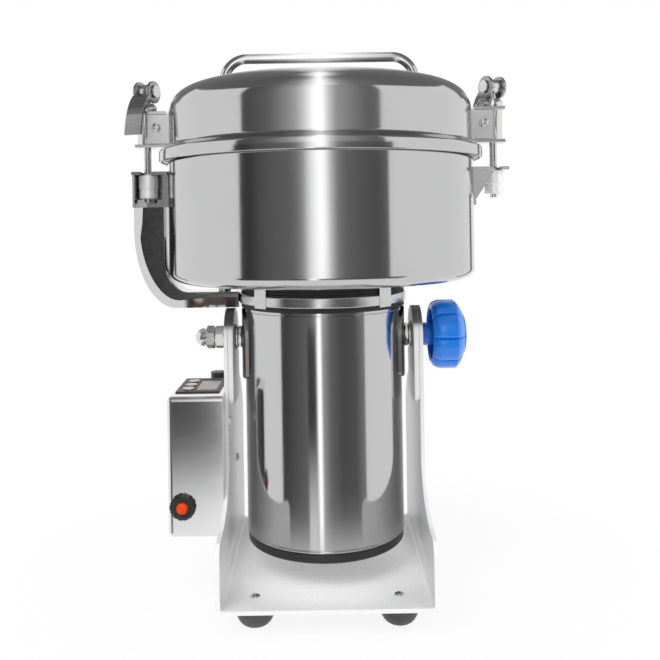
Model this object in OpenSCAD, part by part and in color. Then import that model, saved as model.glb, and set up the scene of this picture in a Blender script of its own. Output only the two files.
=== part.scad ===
// Swing-type electric grain mill. A motor hangs between two sheet uprights and tilts on
// a cross axis with the bowl on top of it. The lid is held by two lever latches.
// Millimetres, +Z up, +Y to the rear, origin on the floor under the motor axis.

/* [Stand] */
// Width over the outsides of the two uprights
stand_w = 154; // [150:1:160]
// Depth of the base plate, front to back
base_d = 184; // [168:1:220]
// Thickness of the bent stand sheet
sheet_t = 3; // [2:0.5:3.5]
// Outer radius of the bend between base and upright
bend_r = 5; // [4:0.5:8]
// Height of the tilt axis above the floor
pivot_z = 196; // [192:1:215]
// Width of an upright at its top
strap_w = 46; // [40:1:50]
// Height at which the front edge of an upright starts to spread
flare_top_z = 105; // [95:1:120]
// Height at which the front edge of an upright reaches its full depth
flare_low_z = 64; // [56:1:72]
// Height at which the rear edge of an upright starts to spread
rear_top_z = 165; // [158:1:168]
// Height at which the rear edge of an upright reaches its full depth
rear_low_z = 118; // [100:1:124]
// Height of the rubber feet
foot_h = 16.5; // [12:0.5:20]
// Diameter of a rubber foot
foot_d = 28; // [22:1:32]
// Distance of the feet from the sides of the stand
foot_inset_x = 25.6; // [20:0.5:34]
// Distance of the feet from the front and rear edges
foot_inset_y = 23; // [18:0.5:40]

/* [Tilt axis] */
// Diameter of the pivot bolt and of the knob's stud
bolt_d = 10; // [8:0.5:12]
// Width across the flats of the nuts
nut_af = 16; // [15:0.5:18]
// Thickness of the plates that double the uprights
doubler_t = 4.3; // [3:0.1:4.8]
// Height of the doubler plates below the tilt axis
doubler_drop = 50; // [40:1:60]
// Thickness of the lugs on the motor
lug_t = 2.5; // [2:0.1:3]
// Height of the lugs below the tilt axis
lug_drop = 30; // [26:1:80]
// Diameter of the clamp knob over its lobes
knob_d = 55; // [46:1:62]
// Number of lobes of the clamp knob
knob_lobes = 8; // [5:1:9]
// Thickness of the knob's lobed rim
knob_rim_t = 24.6; // [20:0.2:30]

/* [Motor] */
// Outer diameter of the motor housing
motor_d = 124; // [118:1:125]
// Wall of the motor housing
housing_wall = 1.5; // [1:0.1:2.5]
// Height of the motor housing
housing_h = 175; // [172:1:186]
// Distance from the tilt axis down to the underside of the motor
motor_drop = 158; // [156:0.5:160]
// Height of the end cap that shows under the housing
end_cap_h = 7.5; // [5:0.5:10]
// Diameter of the motor shaft
shaft_d = 12; // [10:0.5:13]
// Outer diameter of the silver collar under the bowl
collar_d = 132; // [128:1:134]

/* [Bowl and lid] */
// Outer diameter of the bowl
bowl_d = 240; // [220:1:246]
// Height of the bowl
bowl_h = 99; // [90:1:120]
// Wall of the bowl
bowl_wall = 2.5; // [1.5:0.1:4]
// Radius of the bowl's bottom edge
bowl_edge_r = 14; // [8:0.5:20]
// Outer diameter of the lid's skirt
skirt_d = 254; // [251:1:256]
// Outer diameter of the lid's wall
lid_d = 238; // [234:1:240]
// Height of the lid from its skirt's lower edge to its crown
lid_h = 65; // [60:1:80]
// Wall of the lid
lid_wall = 2; // [1.5:0.1:3]
// Diameter of the handle's rod
handle_rod_d = 8; // [6:0.5:9]
// Width of the handle between its rod centres
handle_w = 151.4; // [120:0.2:156]
// Height of the handle's top above the crown
handle_rise = 22.5; // [18:0.5:40]

/* [Latches] */
// Distance of each latch rod from the motor axis
latch_x = 138; // [137:0.5:141]
// Diameter of the latch rods
rod_d = 6; // [5:0.5:6.5]
// Diameter of the nuts at the feet of the rods
barrel_d = 15; // [12:0.5:15.5]
// Height of the nuts at the feet of the rods
barrel_h = 18.5; // [14:0.5:20]
// Diameter of a lever's cam lugs
cam_d = 17.6; // [16:0.2:18.4]
// Width of a lever
lever_w = 14.7; // [13.5:0.1:16]
// Length of a lever below its pin
lever_l = 36; // [32:0.5:42]
// Distance that a lever's tip stands out from its pin
lever_reach = 22; // [20:0.5:24]
// Turn of the left lever away from straight ahead
left_lever_turn = 20; // [0:1:25]
// Turn of the right lever away from straight back
right_lever_turn = 25; // [15:1:28]

/* [Blades] */
// Length of the lower blade over its bent tips
lower_blade_l = 206; // [160:1:210]
// Length of the upper blade over its bent tips
upper_blade_l = 176; // [140:1:200]
// Width of the blades
blade_w = 26; // [20:1:34]
// Thickness of the blades
blade_t = 3; // [2:0.5:4]

/* [Control box] */
// Width of the box, outwards from the upright
ctrl_w = 42; // [40:1:48]
// Depth of the box, front to back
ctrl_d = 76; // [72:1:80]
// Height of the box
ctrl_h = 106; // [90:1:108]
// Height of the underside of the box above the floor
ctrl_z = 50; // [44:1:51]
// Sheet thickness of the box
ctrl_wall = 1.5; // [1:0.1:2]
// Diameter of the reset button
reset_d = 8.5; // [6:0.5:9]
// Travel of the reset button
reset_travel = 2; // [1:0.1:2.5]
// Travel of the panel buttons
button_travel = 0.6; // [0.3:0.1:0.8]

/* [Hidden] */
$fn = 72;
// Segments of a wide cylinder that a small piece is cut to
fine_fn = 360;

// Overrun of a cut past the face that it opens
cut = 1;
// Radial clearances: a running fit, a seated fit, and a gap between moving bodies
run_fit = 0.1;
seat_fit = 0.05;
gap = 0.3;

// Stand
base_z = foot_h;
base_top_z = base_z + sheet_t;
stand_x = stand_w / 2;
foot_x = stand_x - foot_inset_x;
foot_y = base_d / 2 - foot_inset_y;
toe_r = 9;
foot_flat_r = 5;
foot_round_share = 0.72;
foot_round_h = foot_round_share * foot_h;
foot_screw_head_d = 7;
foot_screw_head_h = 1.4;
screw_d = 4;
screw_head_d = 8;
screw_head_h = 2.6;
foot_screw_l = 12;

// Tilt axis
doubler_x = stand_x - sheet_t - doubler_t;
lug_x = motor_d / 2;
lug_out_x = lug_x + lug_t;
washer_d = 20;
washer_t = 1.8;
inner_nut_t = doubler_x - lug_out_x - washer_t - gap;
outer_washer_t = 1.2;
lock_nut_t = 7.4;
acorn_hex_t = 7;
acorn_dome_r = 7.3;
acorn_neck = 1.5;
outer_nut_x = stand_x + gap + outer_washer_t;
acorn_x = outer_nut_x + lock_nut_t;
knob_hub_d = 18.4;
knob_hub_x = stand_x + gap;
knob_hub_l = 5.4;
knob_back_x = stand_x + knob_hub_l;
knob_cap_h = 6.8;
knob_front_x = knob_back_x + knob_rim_t + knob_cap_h;
knob_wall = 9;
knob_r = knob_d / 2;
knob_slope = 5;
knob_back_round = 8;
knob_recess_share = 0.76;
lobe_share = 0.34;
lobe_turn_share = 0.54;

// Motor, from its underside up
motor_z = pivot_z - motor_drop;
motor_r = motor_d / 2;
housing_r = motor_r - housing_wall;
housing_z = motor_z + end_cap_h;
housing_top_z = housing_z + housing_h;
mount_ring_h = 3.5;
collar_z = housing_top_z + mount_ring_h;
collar_h = 7.5;
vent_z = collar_z + collar_h;
vent_h = 9.5;
bowl_z = vent_z + vent_h;
collar_r = collar_d / 2;
collar_band_t = 1.4;
ring_r = collar_r - collar_band_t;
ring_w = 12;
ring_hole_r = motor_r - ring_w;
collar_tab_w = 13;
collar_tab_h = 18;
collar_tabs = 4;
cap_floor = 4;
cap_inset = 0.6;
cap_edge_r = 2;
cap_spigot_h = 6;
cap_vents = 12;
vent_slot_w = 4;
bearing_d = 32;
bearing_h = 10;
bearing_race_t = 3;
boss_wall = 4;
vent_in_gap = 10;
vent_out_gap = 8;
vent_in_r = bearing_d / 2 + boss_wall + vent_in_gap;
vent_out_r = motor_r - vent_out_gap;
upper_bearing_z = housing_top_z - bearing_h;
lower_bearing_z = motor_z + cap_floor + 2 * seat_fit;
commutator_rise = 16;
commutator_z = lower_bearing_z + bearing_h + commutator_rise;
commutator_r = 17;
commutator_h = 24;
commutator_bars = 16;
commutator_slot_w = 0.8;
brush_w = 8;
brush_h = 6;
brush_l = 18;
brush_z = commutator_z + commutator_h / 2;
brush_show = 5;
brush_post_x = commutator_r + brush_show;
brush_post_t = 14;
brush_post_w = 14;
brush_post_top = 4;
stator_bore_share = 0.55;
stator_bore_r = motor_r * stator_bore_share;
stator_slots = 12;
stator_slot_r = 4;
winding_h = 9;
winding_in_gap = 3;
winding_out_gap = 6.5;
winding_in_r = stator_bore_r + winding_in_gap;
winding_out_r = housing_r - winding_out_gap;
stator_z = commutator_z + commutator_h + winding_h + winding_in_gap;
rotor_gap = 0.6;
rotor_r = stator_bore_r - rotor_gap;
rotor_slots = 12;
rotor_slot_r = 2.5;
rotor_end_step = 9;
rotor_end_r = stator_bore_r - rotor_end_step;
rotor_end_h = 8;
fan_h = 12;
fan_gap = 5;
fan_top_gap = 20;
fan_side_gap = 8.5;
fan_r = housing_r - fan_side_gap;
fan_z = upper_bearing_z - fan_top_gap - fan_h;
stator_h = fan_z - fan_gap - winding_h - stator_z;
fan_plate_t = 2;
fan_hub_r = 14;
fan_blades = 9;
fan_blade_t = 2;
end_bell_t = 5;
end_bell_ring_w = 6;

// Bowl and lid
bowl_r = bowl_d / 2;
rim_z = bowl_z + bowl_h;
rim_lip_t = 2.5;
skirt_r = skirt_d / 2;
skirt_t = 2;
skirt_drop = 6;
skirt_z = rim_z - skirt_drop;
skirt_side_h = 9;
skirt_slope_h = 4;
rim_lip_r = skirt_r - skirt_t - 2 * gap;
gasket_t = 2.7;
ledge_z = rim_z + gap + gasket_t;
lid_r = lid_d / 2;
crown_z = skirt_z + lid_h;
crown_rise = 6.5;
shoulder_w = 24;
shoulder_h = 20;
shoulder_z = crown_z - crown_rise - shoulder_h;
crown_flat_r = lid_r - shoulder_w;
crown_ball_r = (crown_flat_r * crown_flat_r + crown_rise * crown_rise) / (2 * crown_rise);
handle_x = handle_w / 2;
handle_top_z = crown_z + handle_rise;
handle_rod_r = handle_rod_d / 2;
handle_bend_r = 18;
handle_depth = 13;
handle_end_z = crown_z - handle_depth;

// Latches
catch_drop = 12;
catch_top_z = rim_z - catch_drop;
catch_t = 2.5;
catch_w = 28;
catch_over = 9.7;
catch_reach = latch_x + catch_over;
catch_slot_gap = 1.5;
catch_slot_w = rod_d + catch_slot_gap;
catch_back_h = 30;
catch_pad_t = 2.2;
gusset_t = 2;
rod_show = 3;
rod_low_z = catch_top_z - catch_t - barrel_h - rod_show;
ear_rise = 3;
ear_over = 0.5;
ear_back = 2;
ear_z = skirt_z + skirt_side_h + skirt_slope_h + ear_rise;
ear_h = shoulder_z + ear_over - ear_z;
ear_reach = latch_x - ear_back;
ear_in_y = 8;
ear_t = 2;
ear_pad_t = 2.6;
ear_screw_back = 9;
ear_screw_x = latch_x - ear_screw_back;
ear_screw_z = ear_z + ear_h / 2 + ear_t / 2;
ear_screw_d = 4;
ear_head_d = 7.5;
ear_head_h = 2;
sleeve_d = 15;
flange_t = 2.4;
flange_w = 20;
flange_out = 8;
flange_gap = 2.5;
flange_in = latch_x - lid_r - flange_gap;
trunnion_low_z = ear_z - gap - flange_t;
trunnion_top_z = ear_z + ear_h + gap + flange_t;
saddle_h = 7;
saddle_d = 16;
cam_drop = 0.5;
pin_z = trunnion_top_z + saddle_h + gap + cam_d / 2 + cam_drop;
pin_d = 5;
pin_head_d = 10;
pin_head_t = 1.6;
cam_lug_t = 2.4;
eye_d = 12;
eye_w = lever_w - 2 * cam_lug_t - 2 * gap;
lever_t = 2.2;
lever_root_share = 0.36;
lever_root_drop_share = 0.08;
lever_bend_share = [0.86, 0.3];
lug_web_share = [0.5, 0.25, 0.06];
lug_web_turn = 45;

// Interlock arm and the left catch on top of it
arm_gap = 1.2;
arm_z = pivot_z + strap_w / 2 + arm_gap;
arm_t = 12.8;
arm_w = 28;
arm_over = 10.3;
arm_side_gap = 2;
arm_out_x = latch_x + arm_over;
arm_in_x = bowl_r + arm_side_gap;
arm_root_x = collar_r;
arm_floor_drop = 7;
arm_top_z = catch_top_z - catch_t - barrel_h - arm_floor_drop;
arm_out_bend_w = 33;
arm_out_bend_share = 0.777;
arm_out_bend = [arm_out_bend_w, arm_out_bend_share * (arm_top_z - arm_z)];
arm_in_bend = [17.2, 25];
arm_screw_inset = 7;
arm_screw_x = collar_r + arm_screw_inset;
arm_screw_step = 10;

// Blades
hub_d = 30;
blade_rise = 9;
lower_blade_z = bowl_z + bowl_wall + blade_rise;
spacer_h = 12;
spacer_d = 20;
upper_blade_z = lower_blade_z + blade_t + spacer_h;
blade_nut_h = 9;
blade_nut_af = 19;
blade_tip_l = 22;
blade_tip_lift = 25;
seal_d = 26;
seal_h = 7;
seal_flange_d = 34;
seal_flange_t = 2;
shaft_show = 3;
shaft_top_z = upper_blade_z + blade_t + blade_nut_h + shaft_show;

// Control box
ctrl_x1 = -stand_x;
ctrl_x0 = ctrl_x1 - ctrl_w;
ctrl_top_z = ctrl_z + ctrl_h;
ctrl_y = ctrl_d / 2;
ctrl_edge_r = 4;
ctrl_mid_x = (ctrl_x0 + ctrl_x1) / 2;
back_t = 1.5;
panel_t = 1;
panel_side_gap = 4;
panel_end_gap = 10.5;
panel_w = ctrl_w - 2 * panel_side_gap;
panel_l = ctrl_d - 2 * panel_end_gap;
panel_off_y = 6;
window_w = 16;
window_end_gap = 7;
window_l = panel_l - 2 * window_end_gap;
window_off_x = 5.5;
window_t = 0.6;
button_w = 5.5;
button_l = 8;
button_pitch = 15.3;
button_y = 3.3;
button_off_x = 8.3;
button_x = ctrl_mid_x - button_off_x;
button_stand = 1.1;
button_flange = 1.2;
button_flange_t = 1;
board_t = 1.6;
board_drop = 7;
board_ledge = 6;
ledge_t = 1.2;
box_screw_places_share = [[0.42, 0.87], [-0.22, 0.79], [0.42, 0.39]];
box_screw_head_d = 6.5;
box_screw_head_h = 1.6;
box_screw_l = 5;
reset_inset = 11.4;
reset_rise = 23.7;
reset_x = ctrl_x0 + reset_inset;
reset_z = ctrl_z + reset_rise;
breaker_neck_d = 12;
breaker_w = 20;
breaker_l = 26;
breaker_collar_d = 19.6;
breaker_collar_t = 3.6;
breaker_collar_notches = 24;
reset_stand = 3;
reset_flange = 1;
gland_inset = 13;
gland_drop = 10;
gland_x = ctrl_x1 - gland_inset;
gland_z = ctrl_top_z - gland_drop;
gland_d = 13;
gland_hex_af = 15;
gland_reach = 9;
gland_rise = 14;

// Plain solids placed by their faces
module box(x0, x1, y0, y1, z0, z1) translate([x0, y0, z0]) cube([x1 - x0, y1 - y0, z1 - z0]);
module bar_x(r, x0, x1, y = 0, z = 0) translate([x0, y, z]) rotate([0, 90, 0]) cylinder(r = r, h = x1 - x0);
module bar_y(r, y0, y1, x = 0, z = 0) translate([x, y1, z]) rotate([90, 0, 0]) cylinder(r = r, h = y1 - y0);
module bar_z(r, z0, z1, x = 0, y = 0) translate([x, y, z0]) cylinder(r = r, h = z1 - z0);
module hex_x(af, x0, x1) translate([x0, 0, pivot_z]) rotate([0, 90, 0])
    cylinder(r = af / 2 / cos(30), h = x1 - x0, $fn = 6);
module ring_z(r1, r0, z0, z1) difference() {
    bar_z(r1, z0, z1);
    bar_z(r0, z0 - cut, z1 + cut);
}
// An outline in X and Z drawn through from y0 to y1, and one in Y and Z from x0 to x1
module plate_y(y0, y1) translate([0, y1, 0]) rotate([90, 0, 0]) linear_extrude(y1 - y0) children();
module plate_x(x0, x1) translate([x0, 0, 0]) rotate([90, 0, 90]) linear_extrude(x1 - x0) children();
module both_sides() {
    children();
    mirror([1, 0, 0]) children();
}
module at_feet() for (x = [-foot_x, foot_x], y = [-foot_y, foot_y]) translate([x, y, 0]) children();
// Points of an arc with half axes a and b about a centre
function arc(cx, cy, a, b, from, to, n = 10) =
    [for (i = [0:n]) let (t = from + (to - from) * i / n) [cx + a * cos(t), cy + b * sin(t)]];
function flip(points) = [for (i = [len(points) - 1:-1:0]) [-points[i][0], points[i][1]]];

// Outline of an upright's front half, turned to the rear, from the underside of the base up to the strap
front_half = concat([[base_d / 2, base_z]],
    arc(base_d / 2 - toe_r, flare_low_z - toe_r, toe_r, toe_r, 0, 90, 6),
    arc(base_d / 2 - toe_r, flare_top_z, base_d / 2 - toe_r - strap_w / 2, flare_top_z - flare_low_z,
        270, 180, 12),
    [[strap_w / 2, pivot_z]]);
// Outline of its rear half, a broad cheek that rises higher than the front
rear_half = concat([[base_d / 2, base_z]],
    arc(strap_w / 2, rear_low_z, base_d / 2 - strap_w / 2, rear_top_z - rear_low_z, 0, 90, 16),
    [[strap_w / 2, pivot_z]]);

module upright_outline() {
    polygon(concat(rear_half, flip(front_half)));
    translate([0, pivot_z]) circle(r = strap_w / 2);
}

// Cross-section of the bent sheet in X and Z, filled down to its outer or inner face
module bent_section(side_x, low_z, r) {
    translate([-side_x, low_z + r]) square([2 * side_x, pivot_z + strap_w]);
    translate([-side_x + r, low_z]) square([2 * side_x - 2 * r, 2 * r]);
    for (x = [-1, 1]) translate([x * (side_x - r), low_z + r]) circle(r = r);
}

module stand_frame() color("silver") difference() {
    intersection() {
        plate_x(-stand_x, stand_x) upright_outline();
        plate_y(-base_d / 2, base_d / 2) difference() {
            bent_section(stand_x, base_z, bend_r);
            bent_section(stand_x - sheet_t, base_top_z, bend_r - sheet_t);
        }
    }
    bar_x(bolt_d / 2 + run_fit, -stand_x - cut, stand_x + cut, 0, pivot_z);
    at_feet() bar_z(screw_d / 2 + seat_fit, base_z - cut, base_top_z + cut);
    at_box_screws() bar_x(screw_d / 2 + seat_fit, -stand_x - cut, cut - stand_x + sheet_t);
}

module pivot_plates() color("dimgray") both_sides() difference() {
    plate_x(doubler_x, doubler_x + doubler_t) {
        translate([0, pivot_z]) circle(r = strap_w / 2);
        translate([-strap_w / 2, pivot_z - doubler_drop]) square([strap_w, doubler_drop]);
    }
    bar_x(bolt_d / 2 + run_fit, doubler_x - cut, stand_x, 0, pivot_z);
}

module rubber_feet() color("black") at_feet() difference() {
    rotate_extrude() polygon(concat([[0, 0]],
        arc(foot_flat_r, foot_round_h, foot_d / 2 - foot_flat_r, foot_round_h, -90, 0, 8),
        [[foot_d / 2, foot_h], [0, foot_h]]));
    bar_z(screw_d / 2 + seat_fit, foot_h - foot_screw_l - cut, foot_h + cut);
}

module foot_screws() color("silver") at_feet() {
    bar_z(screw_d / 2, foot_h - foot_screw_l, base_top_z);
    translate([0, 0, base_top_z])
        cylinder(r1 = foot_screw_head_d / 2, r2 = foot_screw_head_d / 3, h = foot_screw_head_h);
}

// Control box
module at_box_screws() for (p = box_screw_places_share)
    translate([0, p[0] * ctrl_d, ctrl_z + p[1] * ctrl_h]) children();

module box_outline(inset) {
    r = ctrl_edge_r;
    x0 = ctrl_x0 + inset;
    y1 = ctrl_y - inset;
    bar_z(r, ctrl_z + inset, ctrl_top_z - inset, x0 + r, -y1 + r);
    bar_z(r, ctrl_z + inset, ctrl_top_z - inset, x0 + r, y1 - r);
    box(x0 + r, ctrl_x1, -y1, y1, ctrl_z + inset, ctrl_top_z - inset);
    box(x0, x0 + 2 * r, -y1 + r, y1 - r, ctrl_z + inset, ctrl_top_z - inset);
}

module oval_z(w, l, z0, z1) {
    bar_z(w / 2, z0, z1, 0, -(l - w) / 2);
    bar_z(w / 2, z0, z1, 0, (l - w) / 2);
    box(-w / 2, w / 2, -(l - w) / 2, (l - w) / 2, z0, z1);
}

module at_buttons() for (i = [-1:1]) at_button(i) children();
module at_button(i) translate([button_x, button_y + i * button_pitch, 0]) children();

module control_housing() color("gainsboro") difference() {
    box_outline(0);
    difference() {
        box_outline(ctrl_wall);
        box(ctrl_x1 - back_t, ctrl_x1 + cut, -ctrl_d, ctrl_d, 0, ctrl_top_z);
    }
    box(ctrl_x1 - back_t, ctrl_x1 + cut, -ctrl_y + ctrl_wall, ctrl_y - ctrl_wall,
        ctrl_z + ctrl_wall, ctrl_top_z - ctrl_wall);
    at_buttons() oval_z(button_w + 2 * gap, button_l + 2 * gap, ctrl_top_z - 2 * ctrl_wall, ctrl_top_z + cut);
    bar_y(breaker_neck_d / 2 + seat_fit, -ctrl_y - cut, -ctrl_y + 2 * ctrl_wall, reset_x, reset_z);
    bar_y(gland_d / 2 + seat_fit, ctrl_y - 2 * ctrl_wall, ctrl_y + cut, gland_x, gland_z);
}

// The back plate seats in the open side of the box and carries the board on a ledge
module control_back() color("silver") difference() {
    union() {
        box(ctrl_x1 - back_t, ctrl_x1, -ctrl_y + ctrl_wall + seat_fit, ctrl_y - ctrl_wall - seat_fit,
            ctrl_z + ctrl_wall + seat_fit, ctrl_top_z - ctrl_wall - seat_fit);
        box(ctrl_x1 - back_t - board_ledge, ctrl_x1 - back_t, -panel_l / 2, panel_l / 2,
            ctrl_top_z - board_drop - board_t - ledge_t, ctrl_top_z - board_drop - board_t);
    }
    at_box_screws() bar_x(screw_d / 2 + seat_fit, ctrl_x1 - back_t - cut, ctrl_x1 + cut);
}

module box_screws() color("silver") at_box_screws() {
    bar_x(screw_d / 2, ctrl_x1 - box_screw_l, ctrl_x1 + sheet_t);
    bar_x(box_screw_head_d / 2, ctrl_x1 + sheet_t, ctrl_x1 + sheet_t + box_screw_head_h);
}

module control_panel() color("gray") difference() {
    translate([ctrl_mid_x, panel_off_y, 0])
        box(-panel_w / 2, panel_w / 2, -panel_l / 2, panel_l / 2, ctrl_top_z, ctrl_top_z + panel_t);
    window_box(ctrl_top_z - cut, ctrl_top_z + panel_t + cut, seat_fit);
    at_buttons() oval_z(button_w + 2 * gap, button_l + 2 * gap, ctrl_top_z - cut, ctrl_top_z + panel_t + cut);
}

module window_box(z0, z1, extra) translate([ctrl_mid_x + window_off_x, panel_off_y, 0])
    box(-window_w / 2 - extra, window_w / 2 + extra, -window_l / 2 - extra, window_l / 2 + extra, z0, z1);

module display_window() color("darkgray") window_box(ctrl_top_z, ctrl_top_z + window_t, 0);

module panel_button(i) color("white") at_button(i) {
    oval_z(button_w, button_l, ctrl_top_z - ctrl_wall - button_travel, ctrl_top_z + panel_t + button_stand);
    oval_z(button_w + 2 * button_flange, button_l + 2 * button_flange,
        ctrl_top_z - ctrl_wall - gap / 2 - button_flange_t, ctrl_top_z - ctrl_wall - gap / 2);
}

module breaker_body() color("dimgray") difference() {
    union() {
        translate([reset_x, 0, reset_z]) box(-breaker_w / 2 + 3 * ctrl_wall, breaker_w / 2,
            -ctrl_y + ctrl_wall, -ctrl_y + ctrl_wall + breaker_l, -breaker_w / 2, breaker_w / 2);
        bar_y(breaker_neck_d / 2, -ctrl_y - breaker_collar_t, -ctrl_y + ctrl_wall, reset_x, reset_z);
    }
    bar_y(reset_d / 2 + run_fit, -ctrl_y - ctrl_d, -ctrl_y + breaker_l / 2, reset_x, reset_z);
    bar_y(reset_d / 2 + reset_flange + gap, -ctrl_y + ctrl_wall, -ctrl_y + breaker_l / 2, reset_x, reset_z);
}

module breaker_collar() color("black") difference() {
    bar_y(breaker_collar_d / 2, -ctrl_y - breaker_collar_t, -ctrl_y, reset_x, reset_z);
    bar_y(breaker_neck_d / 2 + seat_fit, -ctrl_y - breaker_collar_t - cut, cut - ctrl_y, reset_x, reset_z);
    for (i = [1:breaker_collar_notches]) translate([reset_x, 0, reset_z])
        rotate([0, 360 / breaker_collar_notches * i, 0])
            bar_y(gap, -ctrl_y - breaker_collar_t - cut, -ctrl_y + cut, breaker_collar_d / 2, 0);
}

module reset_button() color("orangered") {
    bar_y(reset_d / 2, -ctrl_y - breaker_collar_t - reset_stand, -ctrl_y + breaker_l / 2 - reset_travel - gap,
        reset_x, reset_z);
    bar_y(reset_d / 2 + reset_flange, -ctrl_y + ctrl_wall + gap, -ctrl_y + 2 * ctrl_wall, reset_x, reset_z);
}

// Right-angle gland for the mains lead
module cable_gland() color("black") {
    bar_y(gland_d / 2, ctrl_y - 3 * ctrl_wall, ctrl_y + gland_reach, gland_x, gland_z);
    translate([gland_x, ctrl_y + gland_reach, gland_z]) sphere(r = gland_d / 2);
    bar_z(gland_d / 2, gland_z, gland_z + gland_rise, gland_x, ctrl_y + gland_reach);
    translate([gland_x, ctrl_y, gland_z]) rotate([-90, 0, 0])
        cylinder(r = gland_hex_af / 2 / cos(30), h = gland_reach / 3, $fn = 6);
}

module control_board() color("darkgreen") {
    box(ctrl_x0 + 3 * ctrl_wall, ctrl_x1 - back_t - gap, -panel_l / 2, panel_l / 2,
        ctrl_top_z - board_drop - board_t, ctrl_top_z - board_drop);
    for (y = [-1, 1]) translate([ctrl_mid_x, y * panel_l / 4, 0])
        box(-panel_w / 4, panel_w / 4, -panel_l / 8, panel_l / 8,
            ctrl_top_z - board_drop - board_t - board_ledge, ctrl_top_z - board_drop - board_t);
}

// Bolt line of the tilt axis
module pivot_bolt() color("silver") bar_x(bolt_d / 2, -acorn_x - acorn_hex_t, -lug_x, 0, pivot_z);

module acorn_nut() color("silver") difference() {
    union() {
        mirror([1, 0, 0]) {
            hex_x(nut_af, acorn_x, acorn_x + acorn_hex_t);
            bar_x(acorn_dome_r, acorn_x, acorn_x + acorn_hex_t + acorn_neck, 0, pivot_z);
        }
        translate([-acorn_x - acorn_hex_t - acorn_neck, 0, pivot_z]) sphere(r = acorn_dome_r);
    }
    bar_x(bolt_d / 2 + seat_fit, -acorn_x - acorn_hex_t, cut - acorn_x, 0, pivot_z);
}

module pivot_nuts() color("silver") difference() {
    union() {
        mirror([1, 0, 0]) hex_x(nut_af, outer_nut_x, acorn_x);
        both_sides() hex_x(nut_af, lug_out_x, lug_out_x + inner_nut_t);
    }
    bar_x(bolt_d / 2 + seat_fit, -acorn_x - cut, -lug_x, 0, pivot_z);
    bar_x(bolt_d / 2 + run_fit, lug_x, doubler_x, 0, pivot_z);
}

module pivot_washers() color("silver") difference() {
    union() {
        both_sides() bar_x(washer_d / 2, lug_out_x + inner_nut_t, lug_out_x + inner_nut_t + washer_t, 0, pivot_z);
        bar_x(washer_d / 2, -outer_nut_x, -stand_x - gap, 0, pivot_z);
    }
    bar_x(bolt_d / 2 + seat_fit, -outer_nut_x - cut, -lug_x, 0, pivot_z);
    bar_x(bolt_d / 2 + run_fit, lug_x, doubler_x, 0, pivot_z);
}

module pivot_lugs() color("dimgray") difference() {
    both_sides() plate_x(lug_x, lug_out_x) {
        translate([0, pivot_z]) circle(r = strap_w / 2);
        translate([-strap_w / 2, pivot_z - lug_drop]) square([strap_w, lug_drop]);
    }
    bar_x(bolt_d / 2 + seat_fit, -lug_out_x - cut, 0, 0, pivot_z);
    bar_x(bolt_d / 2 + run_fit, 0, lug_out_x + cut, 0, pivot_z);
}

// Motor
module motor_housing() color("silver") ring_z(motor_r, housing_r, housing_z, housing_top_z);

module motor_end_cap() color("black") difference() {
    union() {
        rotate_extrude() polygon(concat([[0, motor_z]],
            arc(motor_r - cap_inset - cap_edge_r, motor_z + cap_edge_r, cap_edge_r, cap_edge_r, -90, 0, 4),
            [[motor_r - cap_inset, housing_z], [0, housing_z]]));
        bar_z(housing_r - seat_fit, motor_z + cap_floor, housing_z + cap_spigot_h);
    }
    difference() {
        bar_z(housing_r - boss_wall, motor_z + cap_floor, housing_z + cap_spigot_h + cut);
        bar_z(bearing_d / 2 + boss_wall, 0, housing_z + cap_spigot_h + cut);
        for (x = [-1, 1]) translate([x * (brush_post_x + brush_post_t / 2), 0, 0])
            box(-brush_post_t / 2, brush_post_t / 2, -brush_post_w / 2, brush_post_w / 2, 0, housing_top_z);
    }
    bar_z(bearing_d / 2 + seat_fit, motor_z + cap_floor, housing_z + cap_spigot_h + cut);
    for (i = [1:cap_vents]) rotate([0, 0, 360 / cap_vents * i])
        box(vent_in_r, vent_out_r, -vent_slot_w / 2, vent_slot_w / 2, motor_z - cut, motor_z + cap_floor + cut);
}

// Posts that stand in the end cap's pockets, with the brushes in their square bores
module carbon_brushes() color("dimgray") both_sides() {
    difference() {
        box(brush_post_x, brush_post_x + brush_post_t, -brush_post_w / 2, brush_post_w / 2,
            housing_z + cap_spigot_h, brush_z + brush_h / 2 + brush_post_top);
        box(0, brush_post_x + brush_post_t + cut, -brush_w / 2, brush_w / 2,
            brush_z - brush_h / 2, brush_z + brush_h / 2);
    }
    box(commutator_r + gap, commutator_r + gap + brush_l, -brush_w / 2, brush_w / 2,
        brush_z - brush_h / 2, brush_z + brush_h / 2);
}

module stator_core() color("slategray") difference() {
    ring_z(housing_r - seat_fit, stator_bore_r, stator_z, stator_z + stator_h);
    for (i = [1:stator_slots]) rotate([0, 0, 360 / stator_slots * i])
        bar_z(stator_slot_r, stator_z - cut, stator_z + stator_h + cut, (winding_in_r + winding_out_r) / 2);
}

module stator_windings() color("peru") {
    ring_z(winding_out_r, winding_in_r, stator_z - winding_h, stator_z);
    ring_z(winding_out_r, winding_in_r, stator_z + stator_h, stator_z + stator_h + winding_h);
}

module motor_bearings() color("silver") for (z = [lower_bearing_z, upper_bearing_z]) {
    ring_z(bearing_d / 2, bearing_d / 2 - bearing_race_t, z, z + bearing_h);
    ring_z(bearing_d / 2 - bearing_race_t, shaft_d / 2 + run_fit, z + bearing_h / 4, z + 3 * bearing_h / 4);
}

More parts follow.
